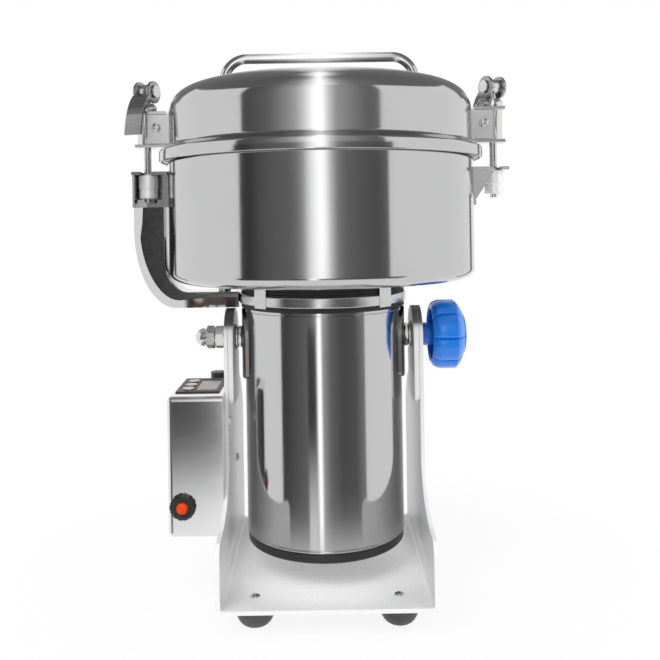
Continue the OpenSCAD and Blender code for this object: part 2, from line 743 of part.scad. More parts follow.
// Casting that closes the housing, holds the upper bearing and carries the bowl
module end_bell() color("gray") difference() {
    union() {
        bar_z(housing_r - seat_fit, housing_top_z - end_bell_t, housing_top_z);
        bar_z(bearing_d / 2 + boss_wall, upper_bearing_z, housing_top_z);
        ring_z(ring_hole_r - seat_fit, ring_hole_r - end_bell_ring_w, housing_top_z, bowl_z);
    }
    bar_z(bearing_d / 2 + seat_fit, upper_bearing_z - cut, upper_bearing_z + bearing_h);
    bar_z(shaft_d / 2 + gap, upper_bearing_z, bowl_z);
}

module mounting_ring() color("black") ring_z(ring_r, ring_hole_r, housing_top_z, collar_z);

module collar_band() color("silver") {
    ring_z(collar_r, ring_hole_r, collar_z, vent_z);
    for (i = [1:collar_tabs]) rotate([0, 0, 360 / collar_tabs * (i - 0.5)]) difference() {
        box(0, collar_r, -collar_tab_w / 2, collar_tab_w / 2,
            vent_z + vent_h - collar_tab_h - gap, vent_z + vent_h - gap);
        bar_z(ring_r, 0, bowl_z);
    }
}

module vent_ring() color("black") ring_z(ring_r, ring_hole_r, vent_z, bowl_z);

// Bowl with a rim lip that the lid's skirt hangs over
module bowl() color("silver") difference() {
    rotate_extrude() polygon(concat([[0, bowl_z]],
        arc(bowl_r - bowl_edge_r, bowl_z + bowl_edge_r, bowl_edge_r, bowl_edge_r, -90, 0),
        [[bowl_r, rim_z - rim_lip_t], [rim_lip_r, rim_z - rim_lip_t], [rim_lip_r, rim_z],
            [bowl_r - bowl_wall, rim_z]],
        arc(bowl_r - bowl_edge_r, bowl_z + bowl_edge_r, bowl_edge_r - bowl_wall, bowl_edge_r - bowl_wall, 0, -90),
        [[0, bowl_z + bowl_wall]]));
    bar_z(seal_d / 2 + seat_fit, bowl_z - cut, bowl_z + bowl_h);
}

module shaft_seal() color("black") difference() {
    union() {
        bar_z(seal_d / 2, bowl_z + bowl_wall - seal_h, bowl_z + bowl_wall);
        bar_z(seal_flange_d / 2, bowl_z + bowl_wall, bowl_z + bowl_wall + seal_flange_t);
    }
    bar_z(shaft_d / 2 + run_fit, 0, rim_z);
}

// Chrome arm from the collar up the side of the bowl, with the left catch on its top
arm_outline = concat([[-arm_root_x, arm_z + arm_t], [-arm_root_x, arm_z]],
    arc(-arm_out_x + arm_out_bend[0], arm_z + arm_out_bend[1], arm_out_bend[0], arm_out_bend[1], 270, 180),
    [[-arm_out_x, arm_top_z], [-arm_in_x, arm_top_z]],
    arc(-arm_in_x + arm_in_bend[0], arm_z + arm_t + arm_in_bend[1], arm_in_bend[0], arm_in_bend[1], 180, 270));
arm_wall = 2;
arm_back_t = 3;
arm_rear_gap = 0.6;

module interlock_arm() color("gainsboro") difference() {
    union() {
        plate_y(-arm_w / 2, arm_w / 2) polygon(arm_outline);
        box(-arm_out_x, -arm_in_x, -arm_w / 2, arm_w / 2, arm_top_z, catch_top_z);
        box(-arm_screw_x - arm_screw_step, -ring_r, -arm_w / 2, arm_w / 2, arm_z, arm_z + arm_t);
    }
    bar_z(collar_r + seat_fit, 0, vent_z);
    bar_z(collar_r + seat_fit, vent_z - cut, bowl_z + cut);
    box(-arm_out_x + arm_wall, -latch_x + barrel_d / 2 + arm_rear_gap, -arm_w, arm_w / 2 - arm_back_t,
        arm_top_z + arm_wall, catch_top_z - catch_t);
    catch_slot(-1);
}

// Slot for a latch rod, open to the front
module catch_slot(side) {
    bar_z(catch_slot_w / 2, arm_top_z, catch_top_z + cut, side * latch_x);
    translate([side * latch_x, 0, 0])
        box(-catch_slot_w / 2, catch_slot_w / 2, -catch_w, 0, catch_top_z - catch_t - cut, catch_top_z + cut);
}

module arm_screws() color("silver") for (y = [-1, 1]) translate([0, y * arm_w / 4, 0])
    bar_z(screw_head_d / 2, arm_z + arm_t, arm_z + arm_t + screw_head_h, -arm_screw_x - arm_screw_step / 2);

module bowl_catch() color("silver") difference() {
    union() {
        intersection() {
            bar_z(bowl_r + catch_pad_t, catch_top_z - catch_back_h, catch_top_z, $fn = fine_fn);
            box(0, catch_reach, -catch_w / 2, catch_w / 2, 0, catch_top_z);
        }
        box(0, catch_reach, -catch_w / 2, catch_w / 2, catch_top_z - catch_t, catch_top_z);
        for (y = [-catch_w / 2, catch_w / 2 - gusset_t]) plate_y(y, y + gusset_t)
            polygon([[0, catch_top_z], [latch_x + rod_d / 2, catch_top_z],
                [latch_x - rod_d / 2, catch_top_z - 2 * catch_t],
                [bowl_r, catch_top_z - catch_back_h + catch_t], [0, catch_top_z - catch_back_h]]);
    }
    bar_z(bowl_r, 0, crown_z, $fn = fine_fn);
    catch_slot(1);
}

module barrel_nuts() color("silver") both_sides() difference() {
    bar_z(barrel_d / 2, catch_top_z - catch_t - barrel_h, catch_top_z - catch_t, latch_x);
    bar_z(rod_d / 2 + run_fit, 0, crown_z, latch_x);
}

// Turning group
module motor_shaft() color("silver") bar_z(shaft_d / 2, lower_bearing_z, shaft_top_z);

module rotor_core() color("slategray") difference() {
    union() {
        bar_z(rotor_r, stator_z, stator_z + stator_h);
        bar_z(rotor_end_r, stator_z - rotor_end_h, stator_z + stator_h + rotor_end_h);
    }
    bar_z(shaft_d / 2 + seat_fit, 0, bowl_z);
    for (i = [1:rotor_slots]) rotate([0, 0, 360 / rotor_slots * i])
        bar_z(rotor_slot_r, stator_z - cut, stator_z + stator_h + cut, rotor_r - 2 * rotor_slot_r);
}

module commutator() color("peru") difference() {
    bar_z(commutator_r, commutator_z, commutator_z + commutator_h);
    bar_z(shaft_d / 2 + seat_fit, 0, bowl_z);
    for (i = [1:commutator_bars]) rotate([0, 0, 360 / commutator_bars * i])
        box(commutator_r - commutator_slot_w, commutator_r + cut, -commutator_slot_w / 2, commutator_slot_w / 2,
            commutator_z - cut, commutator_z + commutator_h + cut);
}

module cooling_fan() color("black") difference() {
    union() {
        bar_z(fan_r, fan_z, fan_z + fan_plate_t);
        bar_z(fan_hub_r, fan_z, fan_z + fan_h);
        for (i = [1:fan_blades]) rotate([0, 0, 360 / fan_blades * i])
            box(fan_hub_r - fan_blade_t, fan_r - fan_blade_t, -fan_blade_t / 2, fan_blade_t / 2,
                fan_z, fan_z + fan_h);
    }
    bar_z(shaft_d / 2 + seat_fit, 0, bowl_z);
}

// Half outline in X and Z of a flat blade whose tip bends up by the lift, from below round to above
function blade_half(l, z, lift) = let (bend = l / 2 - blade_tip_l) [
    [bend, z],
    [bend + blade_tip_l * cos(lift), z + blade_tip_l * sin(lift)],
    [bend + blade_tip_l * cos(lift) - blade_t * sin(lift), z + blade_tip_l * sin(lift) + blade_t * cos(lift)],
    [bend - blade_t * tan(lift / 2), z + blade_t]];

module blade(l, z, lift) difference() {
    union() {
        plate_y(-blade_w / 2, blade_w / 2)
            polygon(concat(blade_half(l, z, lift), flip(blade_half(l, z, lift))));
        bar_z(hub_d / 2, z, z + blade_t);
    }
    bar_z(shaft_d / 2 + seat_fit, 0, crown_z);
}

module lower_blade() color("silver") blade(lower_blade_l, lower_blade_z, blade_tip_lift);
module upper_blade() color("silver") rotate([0, 0, 90]) blade(upper_blade_l, upper_blade_z, blade_tip_lift);

module blade_spacer() color("gray") {
    ring_z(spacer_d / 2, shaft_d / 2 + seat_fit, lower_blade_z + blade_t, upper_blade_z);
    ring_z(spacer_d / 2, shaft_d / 2 + seat_fit, bowl_z + bowl_wall + seal_flange_t + gap, lower_blade_z);
}

module blade_nut() color("silver") difference() {
    translate([0, 0, upper_blade_z + blade_t])
        cylinder(r = blade_nut_af / 2 / cos(30), h = blade_nut_h, $fn = 6);
    bar_z(shaft_d / 2 + seat_fit, 0, crown_z);
}

// Clamp knob, hollow behind, with its lobes cut by a domed front
module knob_outline(r) {
    lobe_r = r * lobe_share;
    for (i = [1:knob_lobes]) rotate(360 / knob_lobes * (i + lobe_turn_share))
        translate([r - lobe_r, 0]) circle(r = lobe_r);
    circle(r = r - lobe_r);
}

module clamp_knob() color("dodgerblue") difference() {
    union() {
        bar_x(knob_hub_d / 2, knob_hub_x, knob_front_x, 0, pivot_z);
        intersection() {
            translate([knob_back_x, 0, pivot_z]) rotate([90, 0, 90])
                linear_extrude(knob_rim_t + knob_cap_h) knob_outline(knob_r);
            knob_envelope();
        }
    }
    difference() {
        bar_x(knob_r * knob_recess_share, knob_back_x - cut, knob_front_x - knob_wall, 0, pivot_z);
        bar_x(knob_hub_d / 2, knob_back_x - 2 * cut, knob_front_x, 0, pivot_z);
    }
    bar_x(bolt_d / 2 + seat_fit, knob_hub_x - cut, knob_front_x - knob_wall, 0, pivot_z);
}

// Turned outer shape of the knob: round back edge, straight rim, sloped front, domed cap
module knob_envelope() translate([knob_back_x, 0, pivot_z]) rotate([0, 90, 0]) rotate_extrude()
    polygon(concat([[0, 0], [knob_r * knob_recess_share, 0]],
        arc(knob_r - knob_back_round, knob_back_round, knob_back_round, knob_back_round, -60, 0, 4),
        arc(0, knob_rim_t - knob_slope, knob_r, knob_slope + knob_cap_h, 15, 90, 8)));

module knob_stud() color("silver") bar_x(bolt_d / 2, lug_x + gap, knob_front_x - knob_wall - seat_fit, 0, pivot_z);

// Lid with its skirt, wall, shoulder and shallow crown
module lid_shell(r, shoulder_a, shoulder_b, crown_r, top, low) rotate_extrude() polygon(concat(
    [[0, low], [r, low]],
    arc(crown_flat_r, shoulder_z, shoulder_a, shoulder_b, 0, 85, 8),
    arc(0, top - crown_r, crown_r, crown_r, acos(crown_flat_r / crown_r), 90, 6)));

module lid() color("silver") difference() {
    union() {
        lid_shell(lid_r, shoulder_w, shoulder_h, crown_ball_r, crown_z, ledge_z);
        rotate_extrude() polygon([[0, skirt_z], [skirt_r, skirt_z], [skirt_r, skirt_z + skirt_side_h],
            [lid_r, skirt_z + skirt_side_h + skirt_slope_h], [0, skirt_z + skirt_side_h + skirt_slope_h]]);
    }
    bar_z(skirt_r - skirt_t, skirt_z - cut, ledge_z);
    lid_shell(lid_r - lid_wall, shoulder_w - lid_wall, shoulder_h - lid_wall,
        crown_ball_r - lid_wall, crown_z - lid_wall, skirt_z - cut);
    both_sides() bar_z(handle_rod_r + seat_fit, shoulder_z, crown_z, handle_x);
}

module lid_gasket() color("dimgray")
    ring_z(skirt_r - skirt_t - seat_fit, lid_r - lid_wall, ledge_z - gasket_t, ledge_z);

module handle() color("silver") {
    top = handle_top_z - handle_rod_r;
    both_sides() {
        bar_z(handle_rod_r, handle_end_z, top - handle_bend_r, handle_x);
        translate([handle_x - handle_bend_r, 0, top - handle_bend_r]) rotate([90, 0, 0])
            rotate_extrude(angle = 90) translate([handle_bend_r, 0]) circle(r = handle_rod_r);
    }
    bar_x(handle_rod_r, -handle_x + handle_bend_r, handle_x - handle_bend_r, 0, top);
}

// Latches, drawn at the right and mirrored to the left
module latch_ears() color("silver") both_sides() difference() {
    box(lid_r - ear_pad_t, ear_reach, -ear_in_y - ear_t, ear_in_y + ear_t, ear_z, ear_z + ear_h);
    box(lid_r + ear_pad_t, ear_reach + cut, -ear_in_y, ear_in_y, ear_z - cut, ear_z + ear_h + cut);
    bar_z(lid_r, ear_z - cut, ear_z + ear_h + cut, $fn = fine_fn);
    bar_y(ear_screw_d / 2 + seat_fit, -ear_in_y - ear_t - cut, ear_in_y + ear_t + cut, ear_screw_x, ear_screw_z);
}

module ear_screws() color("silver") both_sides() {
    bar_y(ear_screw_d / 2, -ear_in_y - ear_t, ear_in_y + ear_t, ear_screw_x, ear_screw_z);
    for (y = [-ear_in_y - ear_t - ear_head_h, ear_in_y + ear_t])
        bar_y(ear_head_d / 2, y, y + ear_head_h, ear_screw_x, ear_screw_z);
}

module latch_trunnions() color("silver") both_sides() difference() {
    union() {
        bar_z(sleeve_d / 2, trunnion_low_z, trunnion_top_z, latch_x);
        box(lid_r + ear_pad_t + seat_fit, latch_x, -ear_in_y + seat_fit, ear_in_y - seat_fit,
            ear_z, ear_z + ear_h);
        for (z = [trunnion_low_z, trunnion_top_z - flange_t])
            box(latch_x - flange_in + seat_fit, latch_x + flange_out, -flange_w / 2, flange_w / 2,
                z, z + flange_t);
    }
    bar_z(rod_d / 2 + run_fit, 0, crown_z, latch_x);
    bar_y(ear_screw_d / 2 + seat_fit, -ear_in_y - cut, ear_in_y + cut, ear_screw_x, ear_screw_z);
}

module latch_saddles() color("silver") both_sides() difference() {
    translate([latch_x, 0, trunnion_top_z]) {
        cylinder(d = saddle_d, h = saddle_h / 2);
        translate([0, 0, saddle_h / 2]) cylinder(d1 = saddle_d, d2 = eye_d, h = saddle_h / 2);
    }
    bar_z(rod_d / 2 + run_fit, 0, handle_top_z, latch_x);
}

// Frames of the two lever pins, with X along the pin
module at_left_pin() translate([-latch_x, 0, pin_z]) rotate([0, 0, -left_lever_turn]) children();
module at_right_pin() translate([latch_x, 0, pin_z]) rotate([0, 0, 180 + right_lever_turn]) children();
module at_pins() {
    at_left_pin() children();
    at_right_pin() children();
}

module latch_rods() color("silver") {
    both_sides() bar_z(rod_d / 2, rod_low_z, pin_z - eye_d / 3, latch_x);
    at_pins() difference() {
        bar_x(eye_d / 2, -eye_w / 2, eye_w / 2);
        bar_x(pin_d / 2 + seat_fit, -eye_w, eye_w);
    }
}

module lever_pins() color("silver") at_pins() {
    bar_x(pin_d / 2, -lever_w / 2 - gap, lever_w / 2 + gap);
    for (x = [-lever_w / 2 - gap - pin_head_t, lever_w / 2 + gap]) bar_x(pin_head_d / 2, x, x + pin_head_t);
}

// One side of the lever's curve in Y and Z, from its root to its tip
function lever_point(reach, t) = let (
    p0 = [-lever_root_share * reach, -lever_root_drop_share * lever_l],
    p1 = [-lever_bend_share[0] * reach, -lever_bend_share[1] * lever_l],
    p2 = [-reach, -lever_l]) (1 - t) * (1 - t) * p0 + 2 * t * (1 - t) * p1 + t * t * p2;
function lever_curve(reach, n = 8) = [for (i = [0:n]) lever_point(reach, i / n)];
function turned(points) = [for (i = [len(points) - 1:-1:0]) points[i]];

module lever() difference() {
    union() {
        plate_x(-lever_w / 2, lever_w / 2)
            polygon(concat(lever_curve(lever_reach), turned(lever_curve(lever_reach - lever_t))));
        for (x = [-lever_w / 2, lever_w / 2 - cam_lug_t]) plate_x(x, x + cam_lug_t) {
            translate([0, -cam_drop]) circle(d = cam_d);
            polygon(concat([[0, -cam_drop],
                [-cam_d / 3 * sin(lug_web_turn), -cam_drop - cam_d / 3 * cos(lug_web_turn)]],
                [for (t = lug_web_share) lever_point(lever_reach - lever_t / 2, t)]));
        }
    }
    bar_x(pin_d / 2 + run_fit, -lever_w, lever_w);
    bar_x(eye_d / 2 + gap, -eye_w / 2 - gap, eye_w / 2 + gap);
}

module lever_left() color("silver") at_left_pin() lever();
module lever_right() color("silver") at_right_pin() lever();

stand_frame();
pivot_plates();
rubber_feet();
foot_screws();
control_housing();
control_back();
box_screws();
control_panel();
display_window();
panel_button(-1);  // panel_button_1
panel_button(0);  // panel_button_2
panel_button(1);  // panel_button_3
breaker_body();
breaker_collar();
reset_button();
cable_gland();
control_board();
pivot_bolt();
acorn_nut();
pivot_nuts();
pivot_washers();
motor_housing();
motor_end_cap();
pivot_lugs();
stator_core();
stator_windings();
motor_bearings();
end_bell();
carbon_brushes();
mounting_ring();
collar_band();
vent_ring();
bowl();
shaft_seal();
interlock_arm();
arm_screws();
bowl_catch();
barrel_nuts();
motor_shaft();
rotor_core();
commutator();
cooling_fan();
lower_blade();
upper_blade();
blade_spacer();
blade_nut();
clamp_knob();
knob_stud();
lid();
lid_gasket();
handle();
latch_ears();
ear_screws();
latch_trunnions();
latch_saddles();
latch_rods();
lever_pins();
lever_left();
lever_right();
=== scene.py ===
import math
import bmesh
import bpy
from mathutils import Matrix, Vector


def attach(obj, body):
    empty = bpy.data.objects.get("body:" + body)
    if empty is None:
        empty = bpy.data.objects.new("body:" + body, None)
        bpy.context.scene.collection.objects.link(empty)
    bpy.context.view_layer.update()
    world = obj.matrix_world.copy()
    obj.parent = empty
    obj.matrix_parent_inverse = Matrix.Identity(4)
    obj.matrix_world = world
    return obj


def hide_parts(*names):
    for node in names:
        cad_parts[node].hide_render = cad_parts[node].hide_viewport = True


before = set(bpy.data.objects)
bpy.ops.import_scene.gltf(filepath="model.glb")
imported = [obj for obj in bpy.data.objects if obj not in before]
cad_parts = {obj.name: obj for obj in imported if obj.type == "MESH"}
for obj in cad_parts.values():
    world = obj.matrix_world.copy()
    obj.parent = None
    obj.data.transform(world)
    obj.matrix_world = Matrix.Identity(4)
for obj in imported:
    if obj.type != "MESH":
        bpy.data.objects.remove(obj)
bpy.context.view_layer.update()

PI = math.pi

# Pieces are built in millimetres and scaled once they are whole
MM = 0.001
FULL = 240          # steps round a wide turned piece
FINE = 64           # steps round a small turned piece
EASE_STEPS = 2      # faces across an eased edge
JOIN = 0.001        # vertices nearer than this become one
CREASE = 38         # degrees over which an edge is shaded sharp

# Places and sizes that several pieces share, in millimetres
PIVOT_Z = 196                           # tilt axis
UPRIGHT_X = 74                          # inner face of an upright
STRAP_HALF = 23                         # half width of the straps at the tilt axis
NUT_ACROSS, BOLT_BORE = 16, 5.05        # pivot nuts: width across the flats, radius of the bore
KNOB_LOBES = 8
TUBE_R, TUBE_TOP = 62, 220.5            # motor's tube
RING_R, RING_BORE = 64.6, 50            # black rings under the bowl
COLLAR_R = 66                           # silver collar between the black rings
COLLAR_LOW, COLLAR_TOP = 224, 231.5
BOWL_LOW = 241                          # underside of the bowl
HANDLE_X, HANDLE_R = 75.7, 4            # feet and radius of the handle's rod
LATCH_X = 138                           # axis of the latch rods
ARM_OUT, ARM_IN, ARM_HALF = -148.3, -122, 14    # outer and inner side and half width of the cast arm
CATCH_LOW, CATCH_TOP = 300, 328         # catch box on top of the arm
BOX_FRONT = -38                         # front face of the control box
PANEL_TOP = 157                         # upper face of the panel film
KEY_X, KEY_Y, KEY_STEP = -106.3, -12, 15.3
BREAKER_X, BREAKER_Z = -107.6, 73.7

# The photograph's camera: level, with its frame shifted down and a slight roll
PHOTO_SIZE = 660
FOCAL_PX = 826
HORIZON_PX = 222
CENTRE_PX = 321.5
CAMERA_DISTANCE = 0.66
CAMERA_HEIGHT = 0.2865
CAMERA_ROLL = math.radians(-0.89)
SENSOR = 36

# The studio, in metres
MILL_MIDDLE = (0, 0, 0.2)
SCREEN_R = 1.6          # most screens stand this far from the mill's axis
SCREEN_TOP = 8.0


def round_corners(points, radii, steps=5, closed=True):
    """A flat path with its corners rounded. radii is one radius, or one for each point."""
    points = [Vector(p) for p in points]
    radii = radii if isinstance(radii, (list, tuple)) else [radii] * len(points)
    out = []
    for i, p in enumerate(points):
        last = i in (0, len(points) - 1)
        if radii[i] <= 0 or (last and not closed):
            out.append(p)
            continue
        to_a = points[i - 1] - p
        to_b = points[(i + 1) % len(points)] - p
        half = to_a.angle(to_b) / 2
        if half > math.radians(89):
            out.append(p)
            continue
        back = min(radii[i] / math.tan(half), 0.49 * to_a.length, 0.49 * to_b.length)
        radius = back * math.tan(half)
        a, b = to_a.normalized(), to_b.normalized()
        centre = p + (a + b).normalized() * radius / math.sin(half)
        u, v = p + a * back - centre, p + b * back - centre
        turn = u.angle(v)
        for k in range(steps + 1):
            t = k / steps
            out.append(centre + (u * math.sin((1 - t) * turn) + v * math.sin(t * turn)) / math.sin(turn))
    return [tuple(p) for p in out]


def arc(cx, cy, a, b, start, end, steps=10):
    """Points of an elliptical arc in degrees."""
    turns = [math.radians(start + (end - start) * i / steps) for i in range(steps + 1)]
    return [(cx + a * math.cos(t), cy + b * math.sin(t)) for t in turns]


def to_object(bm, name):
    mesh = bpy.data.meshes.new(name)
    bm.to_mesh(mesh)
    bm.free()
    piece = bpy.data.objects.new(name, mesh)
    bpy.context.scene.collection.objects.link(piece)
    return piece


def dress(bm, name, material, body, nodes=(), bevel=0.0, angle=30, cuts=None):
    """Turns a bmesh into a finished piece: cut, edges eased, smooth, with its material and body."""
    bmesh.ops.remove_doubles(bm, verts=bm.verts, dist=JOIN)
    bmesh.ops.recalc_face_normals(bm, faces=bm.faces)
    if cuts is not None:
        bm = cut_out(bm, cuts)
    if bevel:
        bmesh.ops.dissolve_limit(bm, angle_limit=math.radians(0.5), verts=bm.verts, edges=bm.edges)
        sharp = [e for e in bm.edges if len(e.link_faces) == 2
                 and e.calc_face_angle(0) > math.radians(angle)]
        bmesh.ops.bevel(bm, geom=sharp, offset=bevel, segments=EASE_STEPS, profile=0.5,
                        affect="EDGES", clamp_overlap=True)
    bmesh.ops.scale(bm, vec=(MM, MM, MM), verts=bm.verts)
    for face in bm.faces:
        face.smooth = True
    piece = to_object(bm, name)
    piece.data.set_sharp_from_angle(angle=math.radians(CREASE))
    piece.data.materials.append(material)
    weighted = piece.modifiers.new("even_normals", "WEIGHTED_NORMAL")
    weighted.keep_sharp = True
    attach(piece, body)
    if nodes:
        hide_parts(*nodes)
    return piece


def cut_out(bm, cuts, operation="DIFFERENCE"):
    """Cuts closed shapes that lie apart out of another. INTERSECT leaves what they share and UNION joins them."""
    bmesh.ops.recalc_face_normals(cuts, faces=cuts.faces)
    whole, tool = to_object(bm, "whole"), to_object(cuts, "tool")
    modifier = whole.modifiers.new("cut", "BOOLEAN")
    modifier.operation, modifier.solver, modifier.object = operation, "EXACT", tool
    bpy.context.view_layer.update()
    result = bmesh.new()
    result.from_object(whole, bpy.context.evaluated_depsgraph_get())
    for used in (whole, tool):
        mesh = used.data
        bpy.data.objects.remove(used)
        bpy.data.meshes.remove(mesh)
    bmesh.ops.remove_doubles(result, verts=result.verts, dist=JOIN)
    return result


def keep(node, material, ease):
    """Keeps a solid's own shape: gives it its finish and eases its edges by a width in millimetres."""
    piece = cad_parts[node]
    for place in piece.material_slots:
        place.material = material
    if ease:
        weld = piece.modifiers.new("weld", "WELD")
        weld.merge_threshold = 2 * JOIN * MM
        edge = piece.modifiers.new("ease", "BEVEL")
        edge.width, edge.segments = ease * MM, EASE_STEPS
        edge.limit_method, edge.angle_limit = "ANGLE", math.radians(35)
        edge.harden_normals = True


def add_lathe(bm, profile, steps=FULL, place=Matrix.Identity(4), shape=None):
    """Revolves the outline of (radius, height) points about Z and places it by a matrix. shape gives
    the radius of a form that isn't round, from the radius, the angle and the point's third number."""
    rings = []
    turns = [2 * PI * i / steps for i in range(steps)]
    for radius, height, *share in profile:
        if radius < 1e-6:
            rings.append([bm.verts.new(place @ Vector((0, 0, height)))])
            continue
        reach = [shape(radius, t, share[0]) if share else radius for t in turns]
        rings.append([bm.verts.new(place @ Vector((r * math.cos(t), r * math.sin(t), height)))
                      for r, t in zip(reach, turns)])
    for low, high in zip(rings, rings[1:] + rings[:1]):
        if len(low) == 1 and len(high) == 1:
            continue
        for i in range(steps):
            j = (i + 1) % steps
            corners = [low[i % len(low)], low[j % len(low)], high[j % len(high)], high[i % len(high)]]
            unique = list(dict.fromkeys(corners))
            if len(unique) > 2:
                bm.faces.new(unique)


def add_prism(bm, outline, low, high, axis="Z", place=Matrix.Identity(4)):
    """Extrudes a flat outline from low to high. Axis X takes points (y, z), and Z takes (x, y)."""
    spot = {"X": lambda p, d: (d, p[0], p[1]), "Z": lambda p, d: (p[0], p[1], d)}[axis]
    near = [bm.verts.new(place @ Vector(spot(p, low))) for p in outline]
    far = [bm.verts.new(place @ Vector(spot(p, high))) for p in outline]
    bm.faces.new(near)
    bm.faces.new(list(reversed(far)))
    for i in range(len(outline)):
        j = (i + 1) % len(outline)
        bm.faces.new([near[j], near[i], far[i], far[j]])


def add_block(bm, low, high, place=Matrix.Identity(4)):
    outline = [(low[0], low[1]), (high[0], low[1]), (high[0], high[1]), (low[0], high[1])]
    add_prism(bm, outline, low[2], high[2], place=place)


def add_tube(bm, path, radius, steps=32):
    """A round bar along a path in the XZ plane, with flat ends."""
    path = [Vector(p) for p in path]
    side = Vector((0, 1, 0))
    rings = []
    for i, p in enumerate(path):
        along = (path[min(i + 1, len(path) - 1)] - path[max(i - 1, 0)]).normalized()
        across = along.cross(side).normalized()
        up = across.cross(along).normalized()
        rings.append([bm.verts.new(p + radius * (math.cos(t) * across + math.sin(t) * up))
                      for t in (2 * PI * k / steps for k in range(steps))])
    for low, high in zip(rings, rings[1:]):
        for k in range(steps):
            j = (k + 1) % steps
            bm.faces.new([low[k], low[j], high[j], high[k]])
    bm.faces.new(list(reversed(rings[0])))
    bm.faces.new(rings[-1])


def turned_to(axis):
    """Matrix that turns +Z to an axis name such as +X or -Y."""
    target = Vector([float(axis[1] == name) for name in "XYZ"]) * (1 if axis[0] == "+" else -1)
    return Vector((0, 0, 1)).rotation_difference(target).to_matrix().to_4x4()


def at(x, y, z, axis="+Z", spin=0.0):
    """A place whose Z is turned to an axis, spun about it by an angle in radians."""
    return Matrix.Translation((x, y, z)) @ turned_to(axis) @ Matrix.Rotation(spin, 4, "Z")


def outward(side):
    """The axis that points away from the middle, for side -1 or 1."""
    return "+X" if side > 0 else "-X"


def from_node(node):
    """A copy of a solid's mesh in millimetres, to add detail to."""
    bm = bmesh.new()
    bm.from_mesh(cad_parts[node].data)
    bmesh.ops.scale(bm, vec=(1 / MM, 1 / MM, 1 / MM), verts=bm.verts)
    bmesh.ops.remove_doubles(bm, verts=bm.verts, dist=2 * JOIN)
    bmesh.ops.dissolve_limit(bm, angle_limit=math.radians(0.3), verts=bm.verts, edges=bm.edges)
    return bm


# Camera and studio

def add_camera():
    data = bpy.data.cameras.new("camera")
    data.sensor_width = SENSOR
    data.lens = SENSOR * FOCAL_PX / PHOTO_SIZE
    data.shift_x = (PHOTO_SIZE / 2 - CENTRE_PX) / PHOTO_SIZE
    data.shift_y = (HORIZON_PX - PHOTO_SIZE / 2) / PHOTO_SIZE
    data.clip_start, data.clip_end = 0.01, 50
    camera = bpy.data.objects.new("camera", data)
    camera.matrix_world = (Matrix.Translation((0, -CAMERA_DISTANCE, CAMERA_HEIGHT))
                           @ Matrix.Rotation(math.radians(90), 4, "X") @ Matrix.Rotation(CAMERA_ROLL, 4, "Z"))
    bpy.context.scene.collection.objects.link(camera)
    bpy.context.scene.camera = camera


def add_node(tree, kind, inputs=(), **settings):
    """Adds a node. inputs are (socket, value or socket to link) pairs."""
    node = tree.nodes.new(kind)
    for key, value in settings.items():
        setattr(node, key, value)
    for key, value in inputs:
        if isinstance(value, bpy.types.NodeSocket):
            tree.links.new(value, node.inputs[key])
        else:
            node.inputs[key].default_value = value
    return node


def maths(tree, operation, a, b=0.0):
    return add_node(tree, "ShaderNodeMath", [(0, a), (1, b)], operation=operation).outputs[0]


def mask_over(tree, value, low, high, **settings):
    """0 where a value is under low and 1 where it is over high, changing evenly between."""
    return add_node(tree, "ShaderNodeMapRange", [("Value", value), ("From Min", low), ("From Max", high)],
                    **settings).outputs[0]


def between(tree, mask, low, high):
    """A value that follows a mask from low to high."""
    return add_node(tree, "ShaderNodeMapRange", [("Value", mask), ("To Min", low), ("To Max", high)]).outputs[0]


def tint(tree, mask, colour, other):
    """Goes from one colour to another by a mask. Each is three numbers or another node's colour."""
    sockets = [(key, (*value, 1) if isinstance(value, tuple) else value) for key, value in ((6, colour), (7, other))]
    return add_node(tree, "ShaderNodeMix", [(0, mask), *sockets], data_type="RGBA").outputs[2]


def darkened(colour, share):
    return tuple(c * share for c in colour)


def own_place(tree):
    """The point on the piece, in metres in its own frame."""
    return add_node(tree, "ShaderNodeTexCoord").outputs["Object"]


def split(tree, vector):
    """The three numbers of a vector."""
    return add_node(tree, "ShaderNodeSeparateXYZ", [(0, vector)]).outputs


def noise(tree, place, scale, detail, roughness=0.5, distortion=0.0):
    """A soft random value over the surface."""
    return add_node(tree, "ShaderNodeTexNoise", [
        ("Vector", place), ("Scale", scale), ("Detail", detail), ("Roughness", roughness),
        ("Distortion", distortion)]).outputs[0]


def shine(tree, colour):
    """Makes a screen's material shine with a colour, alike from all sides."""
    light = add_node(tree, "ShaderNodeEmission", [("Color", colour), ("Strength", 1.0)])
    add_node(tree, "ShaderNodeOutputMaterial", [("Surface", light.outputs[0])])


def ramp(tree, value, stops):
    """A grey that follows a value from stop to stop, each a (place, brightness) pair."""
    node = add_node(tree, "ShaderNodeValToRGB", [("Fac", value)])
    band = node.color_ramp
    while len(band.elements) < len(stops):
        band.elements.new(0.5)
    for element, (place, level) in zip(band.elements, stops):
        element.position = place
        element.color = (level, level, level, 1)
    return node.outputs["Color"]


def bare_material(name):
    """A new material with an empty node tree."""
    material = bpy.data.materials.new(name)
    material.use_nodes = True
    tree = material.node_tree
    tree.nodes.clear()
    return material, tree


def seen_rays(tree):
    """1 for rays that see the surroundings themselves: camera, glossy and transmission rays."""
    path = add_node(tree, "ShaderNodeLightPath")
    seen = maths(tree, "MAXIMUM", path.outputs["Is Camera Ray"], path.outputs["Is Glossy Ray"])
    return maths(tree, "MAXIMUM", seen, path.outputs["Is Transmission Ray"])


